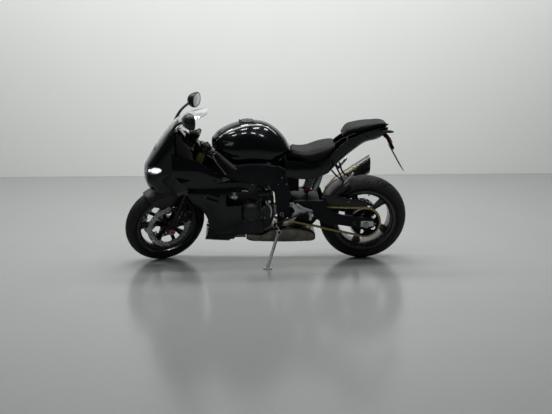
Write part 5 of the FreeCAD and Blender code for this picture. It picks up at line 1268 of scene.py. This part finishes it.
# Ram-air intake behind the beak: a dark plastic mouth with a wire mesh.
# Moulded, spark-textured ABS: matt black.
textured_black = surface("spark_textured_abs", "#09090a", "#101011", 0.6, 0.06, patch=60, grain=1.1,
    relief=0.45, Specular_IOR_Level=0.15)
mouth = [[(x, y * s, 698 + (z - 698) * s) for y, z in ((-52, 668), (-58, 690), (-46, 728), (0, 744),
    (46, 728), (58, 690), (52, 668), (0, 652))] for x, s in ((-846, 0.96), (-780, 0.8))]
mesh_wires = [bar((-838, y, 660), (-838, y, 738), 0.8, 0.1, 6) for y in range(-48, 49, 8)]
mesh_wires += [bar((-838, -52, z), (-838, 52, z), 0.8, 0.1, 6) for z in range(664, 740, 8)]
duct = wrapped(flowing(mouth, 4), True, ends_closed=False)
back_wall = wrapped([mouth[1], [(-778, 0, 698)] * 8], True, ends_closed=False)
piece("intake_mouth", joined(duct, back_wall, *mesh_wires), textured_black)

# ---------------- headlights
# Sealed twin units: a chromed reflector and projector behind a clear polycarbonate lens.
# The lamps are lit, white.
lamp_back = surface("lamp_housing", "#5c5e60", "#6a6c6e", 0.4, 0.06, 0.4, patch=20, grain=1.0, relief=0.2)
lit_reflector = surface("lit_reflector", "#f4f6f8", "#dfe6ee", 0.12, 0.04, 0.6, patch=18, grain=2.0,
    relief=0.1, Emission_Strength=0.9, Emission_Color=linear("#fbfcff"))
# Polycarbonate: clear, hard-coated.
clear_lens = surface("clear_polycarbonate", "#f4f6f7", "#eef1f3", 0.04, 0.01, patch=60, grain=3.0,
    relief=0.01, Transmission_Weight=1.0, IOR=1.58)
# What of the lamp is lit: X and Z round the slanted bowl behind the lens.
LIT = ((-792, 732), (-752, 735), (-720, 751), (-715, 762), (-729, 772), (-764, 772), (-792, 757))
# name, depth below the cowl's skin, wall, gap to the outline, hollow inside that, finish
for name, depth, wall, line, grow, hollow, finish in (
        ("lamp_lenses", 0, 2.5, LAMP, 0, None, clear_lens),
        ("lamp_rims", 2.6, 12, LAMP, 0, -3, lamp_back),
        ("lamp_housings", 14.7, 2.5, LAMP, 0, None, lamp_back),
        ("lamp_reflectors", 9, 3, LIT, 0, None, lit_reflector)):
    layer = piece(name, shell([arch(row) for row in COWL], 6, wall, inset=depth), finish, ride=False)
    trimmed(layer, *([] if hollow is None else [lamp_prisms(hollow)]), inside=[lamp_prisms(grow, line)])
    carried(layer, "chassis", ["headlights"] if name == "lamp_housings" else ())
    if name == "lamp_lenses":
        lamp_lens = layer


def on_skin(obj, line):
    """Points moved onto a piece's skin, with the way that the skin faces."""
    spots = []
    for point in line:
        where, normal = obj.closest_point_on_mesh(BIKE @ Vector(point))[1:3]
        spots.append((to_bike @ where, (to_bike.to_3x3() @ normal).normalized()))
    return spots


BOWL = [(0, -3), (4, -3), (7, 0), (9, 5), (10, 5), (10, -4), (0, -4)]
bowls = [turned(BOWL, p - n * 8.5, n, 20)
    for p, n in on_skin(lamp_lens, [(-812, -150, 746), (-784, -180, 752), (-756, -200, 756)])]
piece("lamp_bowls", both(joined(*bowls)), lit_reflector)

# ---------------- windscreen
# Clear acrylic bubble, vacuum-formed and screwed to the cowl along its lower edge.
clear_acrylic = surface("clear_acrylic", "#f2f5f5", "#e9eeee", 0.03, 0.01, patch=80, grain=4.0,
    relief=0.008, Transmission_Weight=0.95, IOR=1.49)
# X, height on the centre line, half width, drop to the side edge
SCREEN = ((-768, 893, 90, 32), (-700, 988, 124, 52), (-617, 1078, 142, 62), (-520, 1122, 138, 44),
    (-394, 1148, 112, 14))
screen_rows = [[(x, half * t, height - drop * t * t) for t in np.linspace(-1, 1, 9)]
    for x, height, half, drop in SCREEN]
piece("screen_bubble", shell(screen_rows, 4, 3), clear_acrylic, ["windscreen"], "screen_clear", angle=50)
screen_edge = flowing([row[0] for row in screen_rows[:4]], 3)
screw_points = [screen_edge[k] for k in (1, 3, 5, 7)]
copies("screen_screws", BUTTON_SCREW, [((x, s * (abs(y) - 8), z + 5), (-0.35, s * 0.6, 0.8))
    for x, y, z in screw_points for s in (-1, 1)], anodised_black, size=0.8, random_turn=ANY_TURN)

# ---------------- side fairings
# Upper and lower halves on each side with the pan between them: mouldings of 3 mm in gloss
# black lacquer, screwed to the cowl and to each other.


def flank(row):
    """A row of X, then half widths and heights from the bottom up, on the left side."""
    return [(row[0], -y, z) for y, z in zip(row[1::2], row[2::2])]


# X, then half width and height: lower edge, tuck, crease, scoop, upper edge
UPPER = ((-642, 222, 640, 232, 700, 237, 768, 224, 830, 214, 884),
         (-560, 232, 640, 241, 706, 245, 776, 226, 818, 216, 858),
         (-447, 236, 646, 243, 706, 247, 768, 232, 796, 224, 820),
         (-367, 230, 662, 237, 696, 241, 728, 233, 748, 228, 764),
         (-300, 222, 680, 226, 692, 228, 700, 225, 710, 222, 718))
piece("upper_side_panels", both(shell([flank(row) for row in UPPER], 5, 3, (2,))), gloss_black,
    ["upper_fairings"], "black_panel", bevel=0.8, angle=40)


def level(row):
    """A row of Z, then X and half width from the rear edge to the front, on the left side."""
    return [(x, -y, row[0]) for x, y in zip(row[1::2], row[2::2])]


# Z, then X and half width: rear edge, quarter, middle, quarter, front edge
LOWER = ((668, -165, 196, -264, 211, -380, 221, -474, 218, -548, 210),
         (628, -166, 200, -264, 214, -378, 223, -474, 220, -545, 212),
         (600, -166, 210, -264, 225, -375, 234, -470, 230, -540, 222),
         (560, -168, 214, -262, 229, -370, 236, -462, 232, -530, 222),
         (470, -170, 212, -250, 223, -330, 228, -396, 220, -448, 206),
         (380, -172, 206, -240, 218, -310, 222, -364, 213, -405, 196),
         (290, -190, 190, -246, 203, -310, 208, -366, 198, -412, 180),
         (226, -226, 164, -270, 170, -320, 172, -376, 162, -430, 144))
lower = piece("lower_side_panels", both(shell([level(row) for row in LOWER], 5, 3)), gloss_black,
    ride=False)
notch = block((-276, -80), (-300, -150), (500, 600), 12)
LOUVRES = ([(-424, 566), (-330, 534), (-322, 547), (-416, 580)], [(-396, 596), (-322, 571), (-314, 584),
    (-388, 610)])
trimmed(lower, *[both(shape) for shape in [notch] + [slab(line, -300, -150, 4) for line in LOUVRES]])
carried(lower, "chassis", ["lower_fairings"])
# X, then half width and height: rim, bilge, floor
PAN = ((-434, 140, 222, 118, 206, 60, 198), (-345, 147, 222, 123, 201, 60, 194),
       (-256, 152, 222, 128, 198, 60, 191))
piece("belly_pan", shell([arch(row) for row in PAN], 5, 3, centre=(-340, 0, 240)), gloss_black,
    slot="black_panel", bevel=0.6, angle=45)
vent_slats = [slab([(x, z - 4) for x, z in line], -228, -225, 3) for line in LOUVRES]
piece("vent_slats", both(joined(*vent_slats)), textured_black, bevel=0.5)
panel_spots = []
for s in (-1, 1):
    for x, y, z in ((-190, 213, 616), (-500, 227, 596), (-205, 206, 330), (-392, 193, 300),
            (-340, 205, 250)):
        panel_spots.append(((x, s * y, z), (0, s, 0)))
    for x, y, z in ((-620, 237, 690), (-350, 240, 690), (-600, 222, 850)):
        panel_spots.append(((x, s * y, z), (0, s, 0.05)))
copies("panel_screws", BUTTON_SCREW, panel_spots, anodised_black, random_turn=ANY_TURN)

# ---------------- winglets
# Moulded carbon-filled wings, satin, standing off the nose and turned down at their tips.
satin_black = surface("satin_black_moulding", "#111215", "#18191c", 0.33, 0.06, patch=40, grain=0.9,
    relief=0.15, Specular_IOR_Level=0.25, Coat_Weight=0.1, Coat_Roughness=0.2)
# half width, then nose and tail of the section in X and Z, and half its thickness
WING = ((214, -718, 686, -640, 736, 8), (242, -694, 670, -616, 718, 7),
        (290, -646, 640, -568, 684, 6), (320, -614, 620, -532, 660, 5), (329, -604, 610, -526, 650, 3))
foil = ((0, 0), (0.06, 0.75), (0.25, 1), (0.6, 0.7), (1, 0.05), (0.6, -0.6), (0.25, -0.85), (0.06, -0.6))
wing_rows = [flowing([(nx + (tx - nx) * t, -y, nz + (tz - nz) * t + thick * h) for t, h in foil], 3,
    loop=True) for y, nx, nz, tx, tz, thick in WING]
piece("aero_wings", both(wrapped(flowing(wing_rows, 5), True)), satin_black, ["winglets"], "black_panel",
    angle=50)

# ---------------- mirrors
# Die-cast stalks with moulded housings and flat silvered glass behind a thin bezel.
mirror_turn = Matrix.Translation((-486, -318, 1137)) @ Matrix.Rotation(radians(22), 4, "Z")
# distance along the mirror's own axis, half width, half height
POD = ((0, 66, 50), (-3, 69, 53), (-12, 70, 54), (-30, 66, 50), (-48, 55, 41), (-58, 42, 28),
    (-64, 20, 13))
pod_rows = [flowing([(reach, -half_y * 0.8, -half_z * 0.72), (reach, -half_y * 0.1, -half_z),
    (reach, half_y * 0.72, -half_z * 0.82), (reach, half_y, -half_z * 0.1),
    (reach, half_y * 0.78, half_z * 0.72), (reach, half_y * 0.1, half_z),
    (reach, -half_y * 0.74, half_z * 0.8), (reach, -half_y, half_z * 0.05)], 4, loop=True)
    for reach, half_y, half_z in POD]
mirror_rim = pod_rows[0] * (1, 0.93, 0.9)
bezel = wrapped([pod_rows[0], mirror_rim, mirror_rim - (3, 0, 0)], True, ends_closed=False)
housing = wrapped(flowing(pod_rows, 3), True, ends_closed=False)
tip_face = (pod_rows[-1], [tuple(range(len(pod_rows[-1])))])
stalk = tube([(-640, -188, 1012), (-628, -196, 1040), (-604, -214, 1078), (-552, -270, 1118),
    (-520, -300, 1134)], [14, 11, 10, 10, 13], 6, 16)
piece("mirror_housings", joined(both(placed(joined(bezel, housing, tip_face), mirror_turn)), both(stalk)),
    satin_black, ["mirrors"], "mirror_black", angle=45)
# Silvered float glass.
silvered_glass = surface("silvered_glass", "#dfe3e4", "#d3d8da", 0.03, 0.01, 1.0, patch=50, grain=5.0,
    relief=0.005)
glass_rim = mirror_rim - (1.5, 0, 0)
glass_rows = np.array([glass_rim, glass_rim * (1, 0.97, 0.97) + np.array((0.5, 0, 0))])
glass = joined(wrapped(glass_rows, True, ends_closed=False),
    (glass_rows[1], [tuple(range(len(glass_rim)))]))
piece("mirror_glasses", both(placed(glass, mirror_turn)), silvered_glass, angle=50)

# ---------------- cockpit
# Colour display in a slim case on the fairing stay, over textured inner panels.
screen_place = Matrix.Translation((-588, 0, 996)) @ Matrix.Rotation(radians(52), 4, "Y")
case = placed(block((-50, 50), (-76, 76), (-9, 6), 4), screen_place)
stay = slab([(-650, 790), (-650, 905), (-592, 905), (-502, 848), (-528, 790)], -40, 40, 10)
dash_back = slab([(-650, 880), (-654, 980), (-632, 1022), (-600, 1000), (-592, 900)], -96, 96, 10)
piece("display_case", joined(case, stay, dash_back), textured_black, ["instrument_panel"],
    "cockpit_black", bevel=2)
# Bonded cover glass over a dark display: black with a hard, clean reflection.
cover_glass = surface("bonded_cover_glass", "#050608", "#08090b", 0.06, 0.02, patch=60, grain=5.0,
    relief=0.01, Coat_Weight=1.0, Coat_Roughness=0.02)
face_plate = placed(block((-44, 44), (-70, 70), (6, 8.4), 1), screen_place)
piece("display_glass", face_plate, cover_glass, bevel=0.5)
inner_panel = shell([flank(row) for row in ((-612, 196, 880, 174, 945, 142, 1018),
    (-560, 196, 846, 178, 895, 156, 945), (-500, 200, 822, 184, 846, 170, 866))], 4, 2.5)
piece("inner_panels", both(inner_panel), textured_black, slot="cockpit_black", bevel=0.6, angle=45)

# ---------------- mudguards
# Moulded nylon over both tyres, and the chain guard on the left.


def fender(line, begin, sweep, steps, wall):
    """A guard spun round an axle: radius and half width of its section, rear to front."""
    rows = []
    for k, a in enumerate(np.radians(np.linspace(begin, begin + sweep, steps))):
        end = min(k, steps - 1 - k)
        tuck = 1 - 0.1 * max(0, 2 - end) / 2
        rows.append([(r * cos(a), y * tuck, r * sin(a)) for r, y in line])
    return shell(rows, 3, wall, centre=(0, 0, 0))


front_line = [(263, -69), (278, -68), (292, -61), (303, -42), (308, -18), (308, 18), (303, 42), (292, 61),
    (278, 68), (263, 69)]
guard = fender(front_line, 28, 92, 18, 3)
ears = []
for s in (-1, 1):
    ears.append(slab([(62, 165), (103, 161), (139, 232), (98, 251), (20, 269), (-60, 262), (-127, 236),
        (-111, 197), (-60, 177)], *sorted((s * 69, s * 76)), 6))
    ears.append(turned([(0, 0), (10, 0), (10, 6), (8, 7), (0, 7)], (82, s * 75, 182), (0, s, 0), 20))
# Black nylon as it comes from the mould: dull, with a fine grain.
black_nylon = surface("black_nylon_moulding", "#0a0a0c", "#121214", 0.45, 0.08, patch=40, grain=0.8,
    relief=0.25)
piece("front_mudguard_moulding", joined(guard, *ears), black_nylon, ["front_mudguard"], "black_panel",
    bevel=0.6, angle=45, where=FRONT, body="steering")
rear_line = [(287, -105), (304, -101), (322, -82), (331, -50), (334, -20), (334, 20), (331, 50),
    (322, 82), (304, 101), (287, 105)]
hugger = fender(rear_line, 112, 38, 12, 3)
piece("hugger_moulding", hugger, black_nylon, ["rear_hugger"], "black_panel", bevel=0.6, angle=45,
    where=REAR)
chain_guard = slab([(402, 512), (402, 536), (430, 540), (611, 508), (720, 488), (806, 446), (796, 438),
    (760, 452), (700, 454), (430, 458), (430, 512)], -128, -125, 8)
guard_lip = tube([(404, -127, 535), (430, -127, 539), (611, -127, 507), (720, -127, 487),
    (804, -127, 446)], 2.5, 5, 8)
piece("chain_guard", joined(chain_guard, guard_lip), black_nylon, slot="black_panel", bevel=0.6)
copies("guard_screws", BUTTON_SCREW, [((x, -128, z), (0, -1, 0))
    for x, z in ((416, 524), (600, 486), (770, 448))], random_turn=ANY_TURN)
copies("mudguard_screws", BUTTON_SCREW, on_sides([(82, 82, 182)]), random_turn=ANY_TURN, where=FRONT,
    body="steering")

# ---------------- seats
# Foam pads on plastic bases under a stretched vinyl cover, stitched along the edge of the
# crown. The cover is blown up a little by a cloth simulation, so that it crowns.
# Matt vinyl with a leather grain of about 1.5 mm, drawn at 3 mm so that it shows.


def grained_vinyl(name, colour, other):
    """Seat cover: pebbled cells with fine creases between them."""
    material = surface(name, colour, other, 0.55, 0.06, patch=90, grain=0.7, relief=0.2,
        Specular_IOR_Level=0.15, Sheen_Weight=0.02, Sheen_Roughness=0.4)
    tree = material.node_tree
    place = add(tree, "ShaderNodeTexCoord").outputs["Object"]
    cells = add(tree, "ShaderNodeTexVoronoi", {"Vector": place, "Scale": 330.0, "Randomness": 1.0},
        feature="DISTANCE_TO_EDGE")
    crease = add(tree, "ShaderNodeMapRange", {"Value": cells.outputs["Distance"], "From Max": 0.25})
    add_bump(tree, crease.outputs[0], 0.35)
    return material


seat_vinyl = grained_vinyl("grained_seat_vinyl", "#0a0a0b", "#0f0f10")


def upholstered(name, shape, stands_for, swell_mm):
    """A pad: remeshed, blown up as cloth, its points held near where they began."""
    obj = piece(name, shape, seat_vinyl, ride=False)
    mesh = obj.modifiers.new("even_mesh", "REMESH")
    mesh.mode, mesh.voxel_size = "VOXEL", 0.006
    settle(obj)
    start = np.array([v.co for v in obj.data.vertices])
    cloth = obj.modifiers.new("cover", "CLOTH")
    for setting, value in (("quality", 4), ("mass", 0.4), ("tension_stiffness", 30),
            ("bending_stiffness", 2), ("use_pressure", True), ("uniform_pressure_force", 4)):
        setattr(cloth.settings, setting, value)
    cloth.settings.effector_weights.gravity = 0
    cloth.point_cache.frame_start, cloth.point_cache.frame_end = 1, 20
    for number in range(1, 21):
        bpy.context.scene.frame_set(number)
    settle(obj)
    bpy.context.scene.frame_set(1)
    made = np.array([v.co for v in obj.data.vertices])
    moved = made - start
    far = np.linalg.norm(moved, axis=1, keepdims=True)
    made = start + moved * np.minimum(1, swell_mm / 1000 / np.maximum(far, 1e-9))
    obj.data.vertices.foreach_set("co", made.ravel())
    smooth = obj.modifiers.new("smooth", "SMOOTH")
    smooth.factor, smooth.iterations = 0.5, 8
    finer = obj.modifiers.new("finer", "SUBSURF")
    finer.levels = finer.render_levels = 1
    settle(obj)
    obj.data.materials.clear()
    obj.data.materials.append(seat_vinyl)
    obj.data.shade_smooth()
    carried(obj, "chassis", stands_for)
    return obj


# X, then half width and height: base, side, welt, crown
RIDER = ((142, 68, 808, 80, 818, 74, 826, 52, 829),
         (184, 83, 808, 93, 824, 84, 836, 52, 840),
         (200, 92, 805, 102, 832, 92, 850, 60, 861),
         (230, 104, 804, 113, 828, 102, 846, 70, 854),
         (300, 126, 788, 135, 816, 124, 842, 82, 854),
         (380, 133, 799, 143, 832, 132, 862, 88, 879),
         (450, 123, 836, 131, 862, 119, 886, 80, 901),
         (494, 97, 870, 103, 888, 93, 904, 63, 914))
rider_pad = upholstered("rider_pad", lofted([arch(row) for row in RIDER], 5, 14), ["rider_seat"], 7)
PASSENGER = ((550, 60, 944, 68, 950, 60, 958, 42, 963),
             (584, 82, 964, 93, 985, 84, 1002, 58, 1011),
             (640, 90, 982, 103, 1001, 94, 1018, 62, 1027),
             (750, 82, 1010, 93, 1024, 84, 1036, 56, 1043),
             (840, 60, 1026, 69, 1033, 62, 1040, 42, 1044),
             (866, 44, 1024, 50, 1028, 44, 1031, 30, 1033))
passenger_pad = upholstered("passenger_pad", lofted([arch(row) for row in PASSENGER], 5, 11),
    ["passenger_seat"], 6)

# Bonded nylon thread: a row of stitches beside the sewn seam, matt black.
seam_thread = surface("bonded_nylon_thread", "#1c1c1d", "#28282a", 0.5, 0.08, patch=4, grain=0.4,
    relief=0.3)
STITCH = tube([(-2.4, 0, -0.3), (-1, 0, 0.5), (1, 0, 0.5), (2.4, 0, -0.3)], 0.6, 2, 5)
for label, pad, table in (("rider", rider_pad, RIDER), ("passenger", passenger_pad, PASSENGER)):
    ring = [(row[0], -row[5], row[6]) for row in table] + [(row[0], row[5], row[6])
        for row in reversed(table)]
    line = flowing(ring, 24 if label == "rider" else 22, loop=True)
    skin = on_skin(pad, line)
    seam = tube([p - n * 0.7 for p, n in skin] + [skin[0][0] - skin[0][1] * 0.7], 1.7, 1, 8)
    piece(label + "_seam", seam, seat_vinyl, slot="seat_vinyl")
    stitches = [(p + n * 0.2 + Vector((0, 0, 3.4)), n, (skin[(k + 1) % len(skin)][0] - p))
        for k, (p, n) in enumerate(skin)]
    spots = [(*on_skin(pad, [p])[0], along_seam) for p, _, along_seam in stitches]
    copies(label + "_stitches", STITCH, spots, seam_thread, "seat_vinyl", angle=60)

# ---------------- tail
# A thin moulded tub under the passenger's seat and a panel below each side of the rider's.
# X, then half width and height: rim, side, bilge, floor
TUB = ((452, 132, 826, 130, 782, 121, 728, 84, 690), (545, 120, 916, 117, 880, 106, 824, 76, 790),
       (640, 110, 970, 107, 938, 97, 892, 68, 866), (710, 100, 996, 97, 970, 86, 934, 62, 912),
       (820, 82, 1018, 80, 995, 70, 963, 48, 942), (868, 62, 1018, 60, 1004, 52, 986, 34, 974))
tail_end = [[(868 + d, y * s, 1000 + (z - 1000) * s) for _, y, z in arch(TUB[-1])]
    for d, s in ((3, 0.9), (5, 0.6), (6, 0.25))]
piece("tail_tub", shell([arch(row) for row in TUB] + tail_end, 5, 3, centre=(660, 0, 960)), gloss_black,
    ["tail_fairing"], "black_panel", bevel=0.6, angle=45)
# X, then half width and height: lower edge, middle, upper edge
PANEL = ((140, 173, 696, 182, 752, 158, 812), (250, 152, 670, 162, 735, 148, 794),
         (360, 138, 670, 146, 735, 138, 784), (448, 130, 706, 138, 760, 132, 822))
piece("seat_side_panels", both(shell([flank(row) for row in PANEL], 6, 3)), gloss_black,
    slot="black_panel", bevel=0.6, angle=45)
copies("tail_screws", BUTTON_SCREW, on_sides(((200, 172, 742), (400, 142, 745), (590, 112, 905),
    (720, 98, 958))), anodised_black, random_turn=ANY_TURN)

# Moulded tray for the battery, ribbed outside, between the seat rails.
tray = [block((150, 153), (-58, 58), (548, 786)), block((243, 246), (-58, 58), (548, 786)),
    block((150, 246), (-58, -55), (548, 786)), block((150, 246), (55, 58), (548, 786)),
    block((150, 246), (-58, 58), (548, 551))]
tray += [block((150, 246), (-60, 60), (z, z + 3)) for z in range(580, 780, 34)]
piece("battery_tray", joined(*tray), textured_black, slot="black_panel", bevel=0.8)

# ---------------- indicators
# Slim sealed lamps with smoked lenses on short rubber-mounted stalks.
smoked_lens = surface("smoked_lens", "#4a4744", "#565250", 0.12, 0.03, patch=20, grain=2.0, relief=0.05,
    Coat_Weight=0.5)
stalks = slab([(820, 992), (850, 991), (852, 1000), (820, 1001)], -104, -72, 2)
bodies = lofted([[(x, -101 - w, z - h), (x, -101 + w, z - h), (x, -101 + w, z + h), (x, -101 - w, z + h)]
    for x, w, h, z in ((844, 6, 5, 995), (858, 11, 8, 996), (884, 11, 8, 996), (901, 7, 4, 995))], 4, 4)
piece("indicator_bodies", both(joined(stalks, bodies)), textured_black, ["rear_indicators"],
    "indicator_lens", bevel=0.8)
lens = slab([(862, 990), (894, 991), (892, 1000), (864, 1001)], -113, -109, 3)
rear_lens = slab([(896, 991), (903, 992), (902, 1000), (896, 1001)], -109, -93, 2)
piece("indicator_lenses", both(joined(lens, rear_lens)), smoked_lens, slot="indicator_lens", bevel=0.8)

# ---------------- plate holder
# Bent steel arm with a blank plate, a small lamp over it and a round red reflector.
hood = slab([(886, 908), (926, 846), (934, 850), (900, 912)], -20, 20, 3)
piece("plate_arm", joined(slab([(846, 953), (846, 938), (868, 925), (915, 838), (925, 842), (884, 945),
    (872, 960)], -34, 34, 6), hood), textured_black, ["plate_holder"], "black_panel", bevel=1)
blank = slab([(905, 850), (992, 700), (995.5, 702), (908.5, 852)], -90, 90)
piece("plate_back", blank, textured_black, slot="black_panel", bevel=1)
# Pressed aluminium blank under white paint.
plate_white = surface("painted_plate", "#d8d9d6", "#cfd0cc", 0.4, 0.06, patch=50, grain=1.2, relief=0.08)
face = slab([(910, 849.5), (993, 706), (994, 706.6), (911, 850)], -84, 84)
piece("plate_blank", face, plate_white, bevel=0.3)
# Acrylic reflector moulded with small cube corners.
reflex_red = surface("red_reflex_acrylic", "#a3122c", "#8a0e24", 0.15, 0.04, patch=6, grain=2.2,
    relief=0.6, Coat_Weight=1.0)
piece("rear_reflector", slab([(880, 938), (904, 893), (915, 898), (891, 943)], -37, 37, 5), reflex_red,
    bevel=1)

# ---------------- studio
# A pale floor and wall, soft lamps overhead and in front, and a camera at standing height
# on the bike's left.


def studio_surface(name, colour, other, rough):
    """Sealed screed or painted board: pale, with a slow drift in tone."""
    return surface(name, colour, other, rough, 0.05, patch=900, grain=6.0, relief=0.03)


pale_floor = studio_surface("sealed_floor", "#8d908e", "#868987", 0.2)
pale_wall = studio_surface("painted_wall", "#d7d9d7", "#d2d4d2", 0.7)
# The wall shows from its front only, so that it does not hide the bike's far side.
wall_tree = pale_wall.node_tree
one_sided = add(wall_tree, "ShaderNodeMixShader",
    {0: add(wall_tree, "ShaderNodeNewGeometry").outputs["Backfacing"],
    1: wall_tree.nodes["Principled BSDF"].outputs["BSDF"],
    2: add(wall_tree, "ShaderNodeBsdfTransparent").outputs["BSDF"]})
wall_tree.links.new(one_sided.outputs["Shader"], wall_tree.nodes["Material Output"].inputs["Surface"])
middle = BIKE @ Vector((0, 0, 0))
WALL_BEHIND, HALF_WIDE = 4.6, 14.0
for name, corners, finish in (("studio_floor", [(-HALF_WIDE, -HALF_WIDE, 0), (HALF_WIDE, -HALF_WIDE, 0),
        (HALF_WIDE, WALL_BEHIND, 0), (-HALF_WIDE, WALL_BEHIND, 0)], pale_floor),
        ("studio_wall", [(-HALF_WIDE, WALL_BEHIND, 0), (HALF_WIDE, WALL_BEHIND, 0),
        (HALF_WIDE, WALL_BEHIND, 6), (-HALF_WIDE, WALL_BEHIND, 6)], pale_wall)):
    mesh = bpy.data.meshes.new(name)
    mesh.from_pydata(corners, [], [(0, 1, 2, 3)])
    mesh.materials.append(finish)
    in_scene(name, mesh)
world = bpy.data.worlds.new("soft_room")
bpy.context.scene.world = world
world.use_nodes = True
world.node_tree.nodes["Background"].inputs[0].default_value = linear("#e6e9ea")
world.node_tree.nodes["Background"].inputs[1].default_value = 0.06
bpy.context.scene.view_settings.view_transform = "Standard"
# name, power in watts, size along and across, place, what it points at
LAMPS = [("wall_wash", 520, 12.0, 0.8, (0, 1.6, 5.6), (0, 4.6, 1.2)),
    ("left_fill", 8, 1.2, 1.2, (-3.2, -4.0, 2.6), (-0.4, 0, 0.6))]
LAMPS += [(f"ceiling_{i}_{j}", 12, 0.5, 0.16, (-1.6 + 1.1 * i, -1.4 + 1.3 * j, 3.6),
    (-1.6 + 1.1 * i, -1.4 + 1.3 * j, 0)) for i in range(4) for j in range(3)]
for name, power, long_side, short_side, at, towards in LAMPS:
    lamp = bpy.data.lights.new(name, "AREA")
    lamp.shape, lamp.size, lamp.size_y, lamp.energy = "RECTANGLE", long_side, short_side, power
    hung = in_scene(name, lamp)
    hung.location = at
    hung.rotation_euler = (Vector(towards) - Vector(at)).to_track_quat("-Z", "Y").to_euler()

CAMERA_AWAY, CAMERA_HEIGHT = 5.5, 1.4
CAMERA_SWING = radians(-2)
LOOK_DOWN, LOOK_LEFT = radians(10.47), radians(0.9)
camera_data = bpy.data.cameras.new("viewpoint")
camera_data.sensor_width = 36
camera_data.lens = 48.98
camera = in_scene("viewpoint", camera_data)
bpy.context.scene.camera = camera
swing = Matrix.Rotation(CAMERA_SWING, 4, "Z")
aim = (swing @ Matrix.Translation((0, -CAMERA_AWAY, CAMERA_HEIGHT)) @ Matrix.Rotation(-LOOK_LEFT, 4, "Z")
    @ Matrix.Rotation(pi / 2 - LOOK_DOWN, 4, "X"))
camera.matrix_world = Matrix.Translation((middle.x, middle.y, 0)) @ aim
